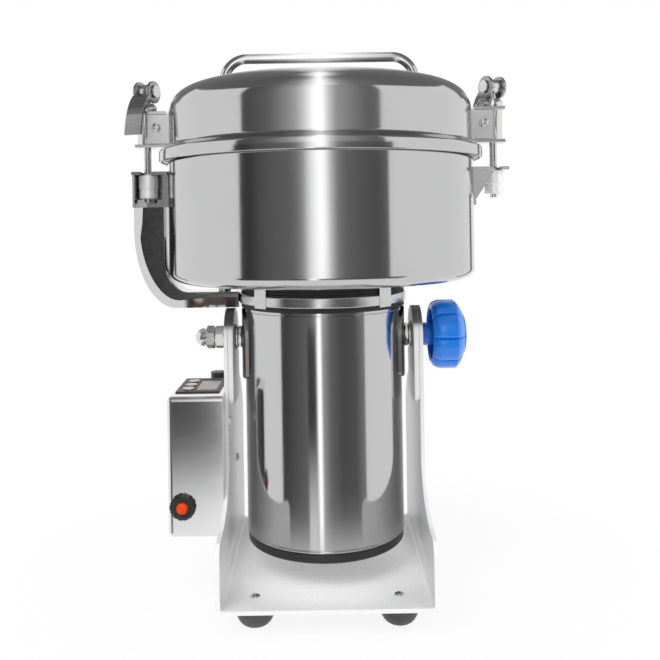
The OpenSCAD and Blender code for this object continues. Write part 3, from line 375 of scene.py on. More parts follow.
def set_world(level):
    """White to the eye and in mirrors, and a light of the given strength on the mill."""
    world = bpy.data.worlds.new("white_surroundings")
    bpy.context.scene.world = world
    world.use_nodes = True
    tree = world.node_tree
    tree.nodes.clear()
    strength = between(tree, seen_rays(tree), level, 1.0)
    light = add_node(tree, "ShaderNodeBackground", [("Color", (1, 1, 1, 1)), ("Strength", strength)])
    add_node(tree, "ShaderNodeOutputWorld", [("Surface", light.outputs[0])])


def flat_stage(name, corners, material):
    """A flat piece of the studio."""
    mesh = bpy.data.meshes.new(name)
    mesh.from_pydata(corners, [], [tuple(range(len(corners)))])
    mesh.materials.append(material)
    piece = bpy.data.objects.new(name, mesh)
    bpy.context.scene.collection.objects.link(piece)
    return piece


def add_floor(half, glow_share, near, far):
    """A pale floor: part of its white is its own, the rest is light that the mill can shade. Away
    from the mill, from near to far in metres, all of it becomes its own."""
    material, tree = bare_material("pale_floor")
    matt = add_node(tree, "ShaderNodeBsdfDiffuse", [("Color", (0.93, 0.93, 0.93, 1))])
    glow = add_node(tree, "ShaderNodeEmission", [("Color", (1, 1, 1, 1)), ("Strength", 1.0)])
    away = add_node(tree, "ShaderNodeVectorMath", [(0, own_place(tree))], operation="LENGTH").outputs["Value"]
    own = add_node(tree, "ShaderNodeMapRange", [
        ("Value", away), ("From Min", near), ("From Max", far), ("To Min", glow_share), ("To Max", 1.0)],
        interpolation_type="SMOOTHSTEP").outputs[0]
    share = maths(tree, "MULTIPLY", seen_rays(tree), own)
    both = add_node(tree, "ShaderNodeMixShader", [(0, share), (1, matt.outputs[0]), (2, glow.outputs[0])])
    add_node(tree, "ShaderNodeOutputMaterial", [("Surface", both.outputs[0])])
    floor = flat_stage("floor", [(-half, -half, 0), (half, -half, 0), (half, half, 0), (-half, half, 0)], material)
    floor.visible_glossy = False


def only_mirrors_see(card):
    """Makes a screen a piece of the studio that shows in reflections and nowhere else."""
    card.visible_camera = card.visible_diffuse = card.visible_shadow = False
    card.visible_transmission = card.visible_volume_scatter = False


def add_ceiling(name, radius, height, stops):
    """A round studio screen overhead that only mirrors see. stops are (metres to the side, brightness) pairs."""
    material, tree = bare_material(name)
    across = mask_over(tree, split(tree, own_place(tree))[0], -radius, radius)
    shine(tree, ramp(tree, across, [((x + radius) / (2 * radius), level) for x, level in stops]))
    steps = 48
    turns = [2 * PI * i / steps for i in range(steps)]
    only_mirrors_see(flat_stage(name, [(radius * math.cos(t), radius * math.sin(t), height) for t in turns],
                                material))


def add_card(name, radius, low, high, stops, fade=None):
    """A curved studio screen round the mill that only mirrors see. stops are (azimuth from the
    camera's side in degrees, brightness) pairs, and its light changes from one to the next. fade
    gives two heights: at the first it is white, and from the second on it is as the stops say."""
    start, end = stops[0][0], stops[-1][0]
    material, tree = bare_material(name)
    place = add_node(tree, "ShaderNodeUVMap", uv_map="screen")
    around, up = split(tree, place.outputs[0])[:2]
    light = ramp(tree, around, [((a - start) / (end - start), level) for a, level in stops])
    if fade:
        white_at, plain_at = ((height - low) / (high - low) for height in fade)
        white = mask_over(tree, up, plain_at, white_at, interpolation_type="SMOOTHSTEP")
        light = tint(tree, white, light, (1, 1, 1))
    shine(tree, light)
    steps = 72
    turns = [math.radians(start + (end - start) * i / steps) for i in range(steps + 1)]
    verts = [(radius * math.sin(t), -radius * math.cos(t), z) for t in turns for z in (low, high)]
    mesh = bpy.data.meshes.new(name)
    mesh.from_pydata(verts, [], [(2 * i, 2 * i + 1, 2 * i + 3, 2 * i + 2) for i in range(steps)])
    layer = mesh.uv_layers.new(name="screen")
    for loop in mesh.loops:
        layer.data[loop.index].uv = ((loop.vertex_index // 2) / steps, loop.vertex_index % 2)
    mesh.materials.append(material)
    card = bpy.data.objects.new(name, mesh)
    bpy.context.scene.collection.objects.link(card)
    only_mirrors_see(card)


def add_lamp(name, place, aim, size, power):
    """A round lamp that lights the mill and isn't seen itself."""
    data = bpy.data.lights.new(name, "AREA")
    data.shape, data.size, data.energy = "DISK", size, power
    lamp = bpy.data.objects.new(name, data)
    lamp.location = place
    lamp.rotation_euler = (Vector(aim) - Vector(place)).to_track_quat("-Z", "Y").to_euler()
    lamp.visible_camera = lamp.visible_glossy = False
    bpy.context.scene.collection.objects.link(lamp)


bpy.context.scene.view_settings.view_transform = "Standard"
add_camera()
set_world(level=0.62)
add_floor(half=6.0, glow_share=0.88, near=0.12, far=0.36)
# The dark screens that the bowl, the lid's wall and its shoulder mirror, each with its bright middle
add_card("bowl_screen", SCREEN_R, 0.1, 0.5, [
    (-57.5, 0.05), (-49, 0.06), (-43, 0.11), (-32, 0.16), (-21, 0.18), (-16, 0.26), (-12, 0.45), (-7.5, 1.2),
    (-4, 1.6), (0, 1.95), (3, 1.6), (6.5, 0.8), (11, 0.32), (16.5, 0.2), (27, 0.15), (38, 0.12), (47, 0.16)])
add_card("lid_screen", SCREEN_R, 0.5, 1.45, [
    (-56, 0.09), (-49, 0.12), (-38, 0.17), (-32, 0.23), (-27, 0.33), (-21, 0.45), (-16, 0.62), (-10.5, 1.05),
    (-5, 1.75), (0, 2.2), (5.5, 1.05), (11, 0.5), (16.5, 0.42), (27, 0.27), (33, 0.2), (42, 0.2)])
add_card("crown_screen", SCREEN_R, 1.45, SCREEN_TOP, [
    (-128, 0.2), (-60, 0.15), (-35, 0.19), (-18, 0.42), (-9, 1.1), (0, 2.1), (8, 1.1), (16, 0.45), (30, 0.24),
    (60, 0.18), (128, 0.2)])
add_ceiling("dark_ceiling", SCREEN_R, SCREEN_TOP, [
    (-1.6, 0.2), (-1.1, 0.25), (-0.6, 0.8), (0, 2.2), (0.6, 0.8), (1.1, 0.25), (1.6, 0.2)])
add_card("back_screen", SCREEN_R, 0.75, SCREEN_TOP, [
    (128, 0.2), (162, 0.25), (172, 0.8), (180, 1.4), (188, 0.8), (198, 0.25), (232, 0.2)])
# Narrow screens behind the mill, for the thin dark lines beside the bowl's and the lid's outlines
add_card("left_line", SCREEN_R + 0.1, -0.6, 3.0, [(-137, 0.06), (-132, 0.06)])
add_card("right_line", SCREEN_R + 0.1, -0.6, 3.0, [(138, 0.06), (143, 0.06)])
# The screen that the motor mirrors
add_card("lower_screen", SCREEN_R, -0.66, 0.1, [
    (-62, 0.05), (-30, 0.16), (-18, 0.22), (-10, 0.5), (-8.5, 1.6), (-6, 2.3), (-3.5, 1.6), (-2, 0.5),
    (9, 0.2), (25, 0.11), (45, 0.13), (60, 0.3)], fade=(-0.66, -0.45))
# What the front of the control box mirrors: dark above, white below
add_card("box_screen", 0.9, -0.45, 0.1, [(-22, 0.07), (-10.6, 0.07)], fade=(-0.27, -0.06))
add_lamp("top_light", place=(-0.9, -1.1, 1.9), aim=MILL_MIDDLE, size=1.4, power=22)
add_lamp("side_light", place=(1.5, -0.9, 1.0), aim=MILL_MIDDLE, size=1.2, power=9)
# Fills the shadow between the motor's lower end and the base plate
add_lamp("plate_light", place=(0, -0.012, 0.0365), aim=(0, -0.012, 0), size=0.15, power=0.03)


# Finishes. The groups give masks, and each finish places them with its own values.

def new_group(name, inputs, outputs):
    """An empty node group, the sockets that feed it and the sockets that it gives out."""
    group = bpy.data.node_groups.new(name, "ShaderNodeTree")
    for label, kind, value in inputs:
        socket = group.interface.new_socket(label, in_out="INPUT", socket_type="NodeSocket" + kind)
        socket.default_value = value
    for label, kind in outputs:
        group.interface.new_socket(label, in_out="OUTPUT", socket_type="NodeSocket" + kind)
    start = group.nodes.new("NodeGroupInput")
    end = group.nodes.new("NodeGroupOutput")
    return group, start.outputs, end.inputs


def turned_grain():
    """Fine lines that run round the Z axis, as a lathe or a spinning wheel leaves them."""
    group, given, out = new_group("turned_grain", [("Lines", "Float", 2600.0), ("Length", "Float", 14.0)],
                                  [("Mask", "Float")])
    x, y, z = split(group, own_place(group))
    angle = maths(group, "ARCTAN2", y, x)
    flat = add_node(group, "ShaderNodeCombineXYZ", [(0, x), (1, y)]).outputs[0]
    radius = add_node(group, "ShaderNodeVectorMath", [(0, flat)], operation="LENGTH").outputs["Value"]
    spot = add_node(group, "ShaderNodeCombineXYZ", [
        (0, maths(group, "MULTIPLY", angle, maths(group, "DIVIDE", given["Length"], 10.0))),
        (1, maths(group, "MULTIPLY", radius, given["Lines"])),
        (2, maths(group, "MULTIPLY", z, given["Lines"]))])
    group.links.new(noise(group, spot.outputs[0], 1.0, 3.0, 0.65), out["Mask"])
    return group


def straight_grain():
    """Fine lines along one axis, from a belt or a sheet mill."""
    group, given, out = new_group("straight_grain", [("Scale", "Vector", (60, 60, 2400))], [("Mask", "Float")])
    spot = add_node(group, "ShaderNodeVectorMath", [(0, own_place(group)), (1, given["Scale"])], operation="MULTIPLY")
    group.links.new(noise(group, spot.outputs[0], 1.0, 3.0, 0.6), out["Mask"])
    return group


def handling_marks():
    """Soft blotches and thin random scratches from wiping and use."""
    group, given, out = new_group("handling_marks", [
        ("Size", "Float", 18.0), ("Scratches", "Float", 1.0)], [("Smudge", "Float"), ("Scratch", "Float")])
    place = own_place(group)
    blots = noise(group, place, given["Size"], 5.0, 0.62, 0.6)
    group.links.new(mask_over(group, blots, 0.42, 0.72), out["Smudge"])
    total = None
    for turn, scale in (((0.4, 0.2, 0.9), (900, 40, 60)), ((-0.7, 0.5, -0.3), (50, 700, 30)),
                        ((0.9, -0.6, 0.1), (30, 60, 800))):
        bent = add_node(group, "ShaderNodeMapping", [("Vector", place), ("Rotation", turn), ("Scale", scale)])
        thin = mask_over(group, noise(group, bent.outputs[0], 1.0, 1.0), 0.7, 0.8)
        total = thin if total is None else maths(group, "MAXIMUM", total, thin)
    group.links.new(maths(group, "MULTIPLY", total, given["Scratches"]), out["Scratch"])
    return group


def fine_speckle():
    """Grains of a blasted, sprayed or moulded surface."""
    group, given, out = new_group("fine_speckle", [("Scale", "Float", 1500.0), ("Low", "Float", 0.35),
                                                   ("High", "Float", 0.65)], [("Mask", "Float")])
    cells = noise(group, own_place(group), given["Scale"], 2.0, 0.7)
    group.links.new(mask_over(group, cells, given["Low"], given["High"]), out["Mask"])
    return group


TURNED, STRAIGHT, MARKS, SPECKLE = turned_grain(), straight_grain(), handling_marks(), fine_speckle()
METAL_RELIEF, SKIN_RELIEF = 0.00004, 0.00006     # metres that a full mask stands up


def place_group(tree, group, values):
    return add_node(tree, "ShaderNodeGroup", values, node_tree=group).outputs


def finish_shader(tree, colour, roughness, height, bump, relief, **plain):
    """The surface shader of a finish. plain are its other values, such as Metallic or IOR."""
    raised = add_node(tree, "ShaderNodeBump", [("Strength", bump), ("Distance", relief), ("Height", height)])
    shader = add_node(tree, "ShaderNodeBsdfPrincipled", [
        ("Base Color", colour), ("Roughness", roughness), ("Normal", raised.outputs[0]),
        *((key.replace("_", " "), value) for key, value in plain.items())])
    add_node(tree, "ShaderNodeOutputMaterial", [("Surface", shader.outputs[0])])


def grained_metal(name, colour, roughness, grain, values, contrast, bump, spread, scratch=0.4, metallic=1.0):
    """A metal whose grain lightens it, roughens it and stands up a little, with wipe marks."""
    material, tree = bare_material(name)
    lines = place_group(tree, grain, values)["Mask"]
    marks = place_group(tree, MARKS, [("Scratches", scratch)])
    darker = darkened(colour, 1 - contrast)
    lighter = tuple(min(1.0, c * (1 + contrast)) for c in colour)
    shade = tint(tree, lines, darker, lighter)
    base = tint(tree, maths(tree, "MULTIPLY", marks["Smudge"], 0.35), shade, darker)
    rough = maths(tree, "ADD", between(tree, lines, roughness - spread / 2, roughness + spread / 2),
                  maths(tree, "MULTIPLY", marks["Smudge"], spread))
    height = maths(tree, "SUBTRACT", lines, maths(tree, "MULTIPLY", marks["Scratch"], 1.5))
    finish_shader(tree, base, rough, height, bump, METAL_RELIEF, Metallic=metallic)
    return material


def moulded(name, colour, roughness, grain, bump, contrast, **plain):
    """Plastic or rubber from a mould: a fine skin, slightly uneven gloss and colour."""
    material, tree = bare_material(name)
    skin = place_group(tree, SPECKLE, [("Scale", grain)])["Mask"]
    marks = place_group(tree, MARKS, [("Size", 30.0), ("Scratches", 0.5)])
    base = tint(tree, marks["Smudge"], colour, darkened(colour, 1 - contrast))
    rough = maths(tree, "ADD", between(tree, marks["Smudge"], roughness, roughness + 0.07),
                  maths(tree, "MULTIPLY", marks["Scratch"], 0.1))
    finish_shader(tree, base, rough, skin, bump, SKIN_RELIEF, Metallic=0.0, **plain)
    return material


def satin_steel(name, colour, edge_highlight_colour, metallic, edge_metallic, roughness):
    """Blasted sheet. Its cut edges, the faces that look to the front and back, get a lighter colour: a
    painted highlight. Up-facing rims over the tilt axis are painted dark: a painted reflection of the
    bowl's dark underside. The uprights' broad sides are more metallic than the base and the edges."""
    material, tree = bare_material(name)
    facing = split(tree, add_node(tree, "ShaderNodeTexCoord").outputs["Normal"])
    # painted highlight: the faces that look to the front and back, the sheet's cut edges, get the lighter edge colour
    edge = mask_over(tree, maths(tree, "ABSOLUTE", facing[1]), 0.1, 0.3)
    side = mask_over(tree, maths(tree, "ABSOLUTE", facing[0]), 0.6, 0.9)
    # painted reflection: the up-facing rims over the tilt axis, under the bowl, are painted dark in place of the
    # bowl's dark underside that they would mirror
    over_axis = mask_over(tree, split(tree, own_place(tree))[2], (PIVOT_Z + 4) * MM, (PIVOT_Z + 12) * MM)
    rim = maths(tree, "MULTIPLY", over_axis, mask_over(tree, facing[2], 0.3, 0.5))
    grains = place_group(tree, SPECKLE, [("Scale", 1100.0)])["Mask"]
    lines = place_group(tree, STRAIGHT, [("Scale", (1500, 1500, 50))])["Mask"]
    marks = place_group(tree, MARKS, [("Size", 14.0), ("Scratches", 0.3)])
    shade = tint(tree, grains, darkened(colour, 0.86), colour)
    worn = tint(tree, maths(tree, "MULTIPLY", marks["Smudge"], 0.3), shade, darkened(colour, 0.8))
    # painted highlight on the cut edges, then painted reflection on the rims over the tilt axis
    base = tint(tree, rim, tint(tree, edge, worn, edge_highlight_colour), darkened(colour, 0.12))
    rough = maths(tree, "ADD", between(tree, grains, roughness - 0.04, roughness + 0.05),
                  maths(tree, "MULTIPLY", marks["Smudge"], 0.06))
    height = maths(tree, "ADD", grains, maths(tree, "MULTIPLY", lines, 0.6))
    finish_shader(tree, base, rough, height, 0.25, METAL_RELIEF,
                  Metallic=between(tree, side, edge_metallic, metallic))
    return material


# Grains that two finishes share. A scale is a count of grains or lines per metre.
PLATE_SKIN = [("Scale", 1400.0)]
CAST_SKIN = [("Scale", 260.0), ("Low", 0.3), ("High", 0.7)]

POLISHED = grained_metal("polished_steel", (0.55, 0.55, 0.555), 0.1, TURNED, [("Lines", 2600.0)],
                         contrast=0.03, bump=0.04, spread=0.03, scratch=0.25)
POLISHED_ROD = grained_metal("polished_rod", (0.6, 0.6, 0.605), 0.09, SPECKLE, [("Scale", 900.0)],
                             contrast=0.03, bump=0.03, spread=0.03)
COLLAR_STEEL = grained_metal("collar_steel", (0.58, 0.58, 0.585), 0.2, TURNED, [("Lines", 2200.0)],
                             contrast=0.1, bump=0.12, spread=0.08)
# the stand's sheet: painted highlight on its cut edges, painted reflection on the rims over the tilt axis
STAND_STEEL = satin_steel("brushed_stand", (0.88, 0.88, 0.88), edge_highlight_colour=(0.95, 0.95, 0.95),
                          metallic=0.35, edge_metallic=0.1, roughness=0.42)
LUG_STEEL = grained_metal("lug_steel", (0.26, 0.25, 0.24), 0.24, STRAIGHT, [("Scale", (1500, 1500, 60))],
                          contrast=0.1, bump=0.12, spread=0.1)
# painted reflection: a dark colour for the arm's flat front, in place of the dark surroundings its chrome mirrors
ARM_PAINTED_REFLECTION = grained_metal("arm_face_painted_reflection", (0.13, 0.13, 0.133), 0.16, SPECKLE, CAST_SKIN,
                         contrast=0.1, bump=0.1, spread=0.05, scratch=0.3)
BRIGHT_PLATE = grained_metal("bright_plate", (0.93, 0.93, 0.93), 0.3, SPECKLE, PLATE_SKIN,
                             contrast=0.05, bump=0.08, spread=0.06, metallic=0.25)
CATCH_STEEL = grained_metal("brushed_steel", (0.76, 0.76, 0.76), 0.22, STRAIGHT, [("Scale", (60, 60, 2200))],
                            contrast=0.06, bump=0.12, spread=0.08, metallic=0.72)
PLATED = grained_metal("plated_steel", (0.74, 0.74, 0.735), 0.2, SPECKLE, PLATE_SKIN,
                       contrast=0.05, bump=0.06, spread=0.06)
CHROME = grained_metal("cast_chrome", (0.62, 0.62, 0.625), 0.07, SPECKLE, CAST_SKIN,
                       contrast=0.03, bump=0.1, spread=0.03, scratch=0.2)
BOX_STEEL = grained_metal("box_steel", (0.77, 0.77, 0.775), 0.1, STRAIGHT, [("Scale", (60, 60, 1900))],
                          contrast=0.03, bump=0.03, spread=0.03)
LEVER_STEEL = grained_metal("lever_steel", (0.42, 0.42, 0.425), 0.24, SPECKLE, [("Scale", 1600.0)],
                            contrast=0.03, bump=0.03, spread=0.04, scratch=0.3)
LAMINATION = grained_metal("lamination", (0.35, 0.35, 0.36), 0.4, STRAIGHT, [("Scale", (20, 20, 2000))],
                           contrast=0.25, bump=0.5, spread=0.1)
COPPER = grained_metal("copper", (0.75, 0.36, 0.2), 0.3, TURNED, [("Lines", 1300.0), ("Length", 4.0)],
                       contrast=0.25, bump=0.6, spread=0.12)
CAST_METAL = grained_metal("cast_aluminium", (0.5, 0.5, 0.5), 0.42, SPECKLE, [("Scale", 900.0)],
                           contrast=0.1, bump=0.5, spread=0.12)
RUBBER = moulded("black_rubber", (0.018, 0.018, 0.019), 0.55, grain=1500.0, bump=0.4, contrast=0.3)
FOOT_RUBBER = moulded("grey_rubber", (0.085, 0.085, 0.086), 0.5, grain=1500.0, bump=0.3, contrast=0.2)
BLACK_PLASTIC = moulded("black_plastic", (0.02, 0.02, 0.021), 0.38, grain=1200.0, bump=0.3, contrast=0.25)
BLUE_PLASTIC = moulded("blue_plastic", (0.002, 0.225, 0.9), 0.22, grain=700.0, bump=0.06, contrast=0.12,
                       Coat_Weight=0.5, Coat_Roughness=0.06)
PANEL_FILM = moulded("panel_film", (0.055, 0.055, 0.058), 0.42, grain=1800.0, bump=0.15, contrast=0.2)
WINDOW = moulded("display_glass", (0.11, 0.12, 0.11), 0.12, grain=300.0, bump=0.01, contrast=0.1)
WHITE_KEY = moulded("white_key", (0.62, 0.62, 0.6), 0.35, grain=1200.0, bump=0.15, contrast=0.08)
RED_KEY = moulded("red_button", (0.84, 0.058, 0.002), 0.4, grain=900.0, bump=0.1, contrast=0.15, IOR=1.3)
SILICONE = moulded("silicone", (0.34, 0.34, 0.34), 0.5, grain=600.0, bump=0.2, contrast=0.1)
CARBON = moulded("carbon", (0.03, 0.03, 0.032), 0.5, grain=2400.0, bump=0.3, contrast=0.2)
BOARD = moulded("circuit_board", (0.02, 0.12, 0.05), 0.4, grain=800.0, bump=0.1, contrast=0.2)
DARK_PLASTIC = moulded("dark_plastic", (0.02, 0.019, 0.02), 0.36, grain=1200.0, bump=0.3, contrast=0.25)
ORANGE_PRINT = moulded("orange_print", (0.5, 0.17, 0.06), 0.5, grain=1500.0, bump=0.1, contrast=0.2)


# Bowl, lid and motor, turned about Z

def build_bowl():
    bm = bmesh.new()
    hole, corner = 13.1, (106, BOWL_LOW + 8.5)
    outer = ([(hole, BOWL_LOW)] + arc(*corner, 14, 8.5, -90, 0, 16)
             + [(120, 335.6), (121, 337.1), (124, 337.5), (124.4, 338), (124.4, 339.6), (124, 340)])
    inner = [(117.9, 340), (117.5, 339.6)] + arc(*corner, 11.9, 6, 0, -90, 12) + [(hole, BOWL_LOW + 2.5)]
    add_lathe(bm, outer + inner)
    dress(bm, "bowl_shell", POLISHED, "tilt_head", ["bowl"])


def lid_outline(inset):
    """Radius of the lid's wall, and the half section of its shoulder and crown, up to the middle."""
    crown_r, rise, top = 95, 6.5, 399
    ball = (crown_r ** 2 + rise ** 2) / (2 * rise)
    rim = math.degrees(math.acos(crown_r / ball))
    shoulder = arc(crown_r, 372.5, 24 - inset, 20 - inset, 0, 80, 24)
    crown = arc(0, top - ball, ball - inset, ball - inset, rim + 0.8, 90, 24)
    return 119 - inset, shoulder + crown[:-1] + [(0, top - inset)]


def build_lid():
    bm = bmesh.new()
    wall, outer = lid_outline(0)
    wall_in, inner = lid_outline(2)
    skirt = [(125.4, 334), (126.6, 334.3), (127, 335), (127, 341.2), (126.6, 342.4), (125.6, 343.2),
             (120.8, 345.6), (119.5, 346.6), (wall, 348)]
    below = [(wall_in, 343.6), (wall_in, 343), (125, 343), (125, 334.4)]
    add_lathe(bm, skirt + outer + list(reversed(inner)) + below)
    holes = bmesh.new()
    hole = HANDLE_R + 0.04
    for side in (-1, 1):
        add_lathe(holes, [(0, 380), (hole, 380), (hole, 405), (0, 405)], 32, at(HANDLE_X * side, 0, 0))
    dress(bm, "lid_shell", POLISHED, "lid_group", ["lid"], cuts=holes)


def build_handle():
    bm = bmesh.new()
    bend = 18
    left = [(-HANDLE_X, 0, 386), (-HANDLE_X, 0, 392)]
    left += [(x, 0, z) for x, z in arc(bend - HANDLE_X, 399.5, bend, bend, 180, 90, 24)]
    add_tube(bm, left + [(-x, y, z) for x, y, z in reversed(left)], HANDLE_R)
    # the weld beads where the rod goes into the crown
    for side in (-1, 1):
        add_lathe(bm, [(3.9, 392.6), (5.5, 393.4), (5.2, 394.4), (4.4, 395.2), (3.9, 395.5)], 40,
                  at(HANDLE_X * side, 0, 0))
    dress(bm, "lid_handle", POLISHED_ROD, "lid_group", ["handle"])


def build_motor():
    bm = bmesh.new()
    # a rolled line near the lower end and another below the top
    low, inside = 45.5, TUBE_R - 1.5
    add_lathe(bm, [(inside, low), (61.5, low), (TUBE_R, 46), (TUBE_R, 47), (61.6, 47.4), (61.6, 47.8), (TUBE_R, 48.2),
                   (TUBE_R, 217.6), (61.7, 217.9), (61.7, 218.2), (TUBE_R, 218.5), (TUBE_R, 220), (61.5, TUBE_TOP),
                   (inside, TUBE_TOP)])
    dress(bm, "motor_tube", POLISHED, "tilt_head", ["motor_housing"])
    bm = bmesh.new()
    add_lathe(bm, [(RING_BORE, TUBE_TOP), (64, TUBE_TOP), (RING_R, 221), (RING_R, 223.6), (64.2, COLLAR_LOW),
                   (RING_BORE, COLLAR_LOW)])
    dress(bm, "lower_ring", RUBBER, "tilt_head", ["mounting_ring"])
    bm = bmesh.new()
    grooves = []
    for i in range(4):
        z = COLLAR_TOP + 1.5 + 2.1 * i
        grooves += [(RING_R, z), (63.9, z + 0.3), (63.9, z + 0.9), (RING_R, z + 1.2)]
    add_lathe(bm, [(RING_BORE, COLLAR_TOP), (64.1, COLLAR_TOP), (RING_R, 231.9)] + grooves
              + [(RING_R, 240.6), (64.1, BOWL_LOW), (RING_BORE, BOWL_LOW)])
    dress(bm, "upper_ring", RUBBER, "tilt_head", ["vent_ring"])
    bm = bmesh.new()
    add_lathe(bm, [(RING_BORE, COLLAR_LOW), (65.4, COLLAR_LOW), (COLLAR_R, 224.5), (COLLAR_R, 231),
                   (65.4, COLLAR_TOP), (RING_BORE, COLLAR_TOP)])
    # four tabs that lie over both black rings
    tab_in, tab_out, half = 64.7, 66.25, math.asin(6.5 / COLLAR_R)
    for i in range(4):
        middle = PI / 2 * (i + 0.5)
        turns = [middle - half + 2 * half * k / 8 for k in range(9)]
        outline = [(tab_out * math.cos(t), tab_out * math.sin(t)) for t in turns]
        outline += [(tab_in * math.cos(t), tab_in * math.sin(t)) for t in reversed(turns)]
        add_prism(bm, outline, 222.7, 240.7)
    dress(bm, "collar", COLLAR_STEEL, "tilt_head", ["collar_band"], bevel=0.25, angle=50)


def build_end_cap():
    """The black lower cap: a rounded edge, a step, radial slots and the bearing's boss."""
    bm = bmesh.new()
    profile = ([(0, 38), (29, 38)] + arc(59.4, 40, 2, 2, -90, 0, 6)
               + [(61.4, 44.6), (60.9, 45.2), (60.9, 45.5), (60.4, 45.5), (60.4, 51.5), (56.5, 51.5), (56.5, 42),
                  (0, 42)])
    add_lathe(bm, profile)
    slots = bmesh.new()
    for i in range(12):
        turn = Matrix.Rotation(PI / 6 * i, 4, "Z")
        add_prism(slots, round_corners([(30, -2), (54, -2), (54, 2), (30, 2)], 1.8, 4), 36, 44, place=turn)
    dress(bm, "lower_cap", BLACK_PLASTIC, "tilt_head", ["motor_end_cap"], cuts=slots)


# Tilt axis: the lugs on the motor, the plates on the stand, the nuts and the clamp knob

def hexagon(across):
    """Limits a turned radius to a hexagon with a flat at angle 0."""
    return lambda radius, turn, share: min(radius, across / 2 / math.cos((turn + PI / 6) % (PI / 3) - PI / 6))


def nut_profile(across, thick, bore):
    """Half section of a hexagon nut with chamfered corners at both ends."""
    corner = across / math.sqrt(3)
    face = 0.48 * across
    rise = (corner - face) * math.tan(PI / 6)
    low = [(face + (corner - face) * s, rise * s, 1) for s in (0, 0.35, 0.7, 1)]
    high = [(r, thick - z, 1) for r, z, s in reversed(low)]
    return [(bore, 0.4), (bore + 0.4, 0)] + low + high + [(bore + 0.4, thick), (bore, thick - 0.4)]


def strap_outline(low, corner):
    """Outline in Y and Z of a strap with a round top about the tilt axis."""
    half = STRAP_HALF
    lower = round_corners([(-half, PIVOT_Z), (-half, low), (half, low), (half, PIVOT_Z)], [0, corner, corner, 0], 6,
                          closed=False)
    return lower + arc(0, PIVOT_Z, half, half, 0, 180, 40)[1:-1]


def build_pivot():
    """The saddles bent round the motor's tube, each with a flat boss for the bolt, the stand's plates and the nuts."""
    bm, around, bosses, tube = bmesh.new(), bmesh.new(), bmesh.new(), bmesh.new()
    low, high, face = 120, 225, 64.5
    for side in (-1, 1):
        add_prism(bm, strap_outline(166, 4), 55 * side, 66 * side, "X")
        add_lathe(bosses, [(0, 57), (10.5, 57), (10.5, face - 0.6), (9.9, face), (0, face)], FINE,
                  at(0, 0, PIVOT_Z, outward(side)))
    add_lathe(around, [(face, low), (80, low), (80, high), (face, high)])
    seat = TUBE_R + 0.03
    add_lathe(tube, [(0, low), (seat, low), (seat, high), (0, high)])
    bm = cut_out(cut_out(bm, around), bosses, "UNION")
    dress(bm, "motor_saddles", LUG_STEEL, "tilt_head", ["pivot_lugs"], cuts=tube)
    bm = bmesh.new()
    for side in (-1, 1):
        add_prism(bm, strap_outline(146, 6), (UPRIGHT_X - 4.3) * side, UPRIGHT_X * side, "X")
    dress(bm, "stand_doublers", STAND_STEEL, "stand", ["pivot_plates"], bevel=0.8, angle=40)
    bm = bmesh.new()
    six_sided = hexagon(NUT_ACROSS)
    for side in (-1, 1):
        add_lathe(bm, nut_profile(NUT_ACROSS, 3.1, BOLT_BORE), 48,
                  at(face * side, 0, PIVOT_Z, outward(side), PI / 12), six_sided)
    add_lathe(bm, nut_profile(NUT_ACROSS, 7.4, BOLT_BORE), 48, at(-78.5, 0, PIVOT_Z, "-X", PI / 9), six_sided)
    dress(bm, "pivot_hex_nuts", PLATED, "tilt_head", ["pivot_nuts"])
    bm = bmesh.new()
    hexed = nut_profile(NUT_ACROSS, 7, BOLT_BORE)[1:-2]
    dome = [(6.4, 7), (6.3, 8)] + arc(0, 8.5, 7.3, 7.3, 0, 90, 14)
    add_lathe(bm, [(0, 8), (BOLT_BORE, 8), (BOLT_BORE, 0.4)] + hexed + dome[:-1] + [(0, 15.8)], 48,
              at(-85.9, 0, PIVOT_Z, "-X", PI / 7), six_sided)
    dress(bm, "dome_nut", PLATED, "tilt_head", ["acorn_nut"])


def knob_shape(radius, turn, share):
    """Eight shallow lobes, parted by narrow V grooves."""
    half = 360 / KNOB_LOBES / 2
    groove_from, groove_half = 20.6, 1.9
    lobe = (math.degrees(turn) + half / 2) % (2 * half) - half
    groove = max(0.0, abs(lobe) - groove_from) / groove_half
    return radius - share * (1.5 * (lobe / half) ** 2 + 1.6 * groove)


def build_knob():
    """The clamp knob: a hub with the stud's bore, a ring-shaped hollow behind, and the lobed rim."""
    bm = bmesh.new()
    inside = [(0, 104.78), (BOLT_BORE, 104.78), (BOLT_BORE, 77.8), (5.6, 77.3), (8.6, 77.3), (9.2, 77.9), (9.2, 104.2),
              (9.8, 104.8), (20.3, 104.8), (20.9, 104.2), (20.9, 87)]
    rim = [(21.2, 85.9, 0.1), (22, 85.2, 0.3), (23.3, 85.3, 0.6), (25.2, 86.6, 0.9), (26.7, 88.9, 1),
           (27.5, 91.8, 1), (27.5, 97, 1), (27.5, 103.6, 1), (27, 104.6, 1), (25.4, 106.2, 1), (22.4, 108.2, 0.9),
           (19.2, 109.8, 0.7), (16.6, 110.8, 0.45)]
    cap = [(15.8, 110.9), (15.6, 111.5), (14.9, 111.9), (11, 112.9), (5, 113.6), (0, 113.8)]
    turn = PI / 2 + math.radians(13.05)     # puts the grooves where the photograph shows them
    add_lathe(bm, inside + rim + cap, 32 * KNOB_LOBES, at(0, 0, PIVOT_Z, "+X", turn), knob_shape)
    dress(bm, "star_knob", BLUE_PLASTIC, "knob", ["clamp_knob"])


# Latches

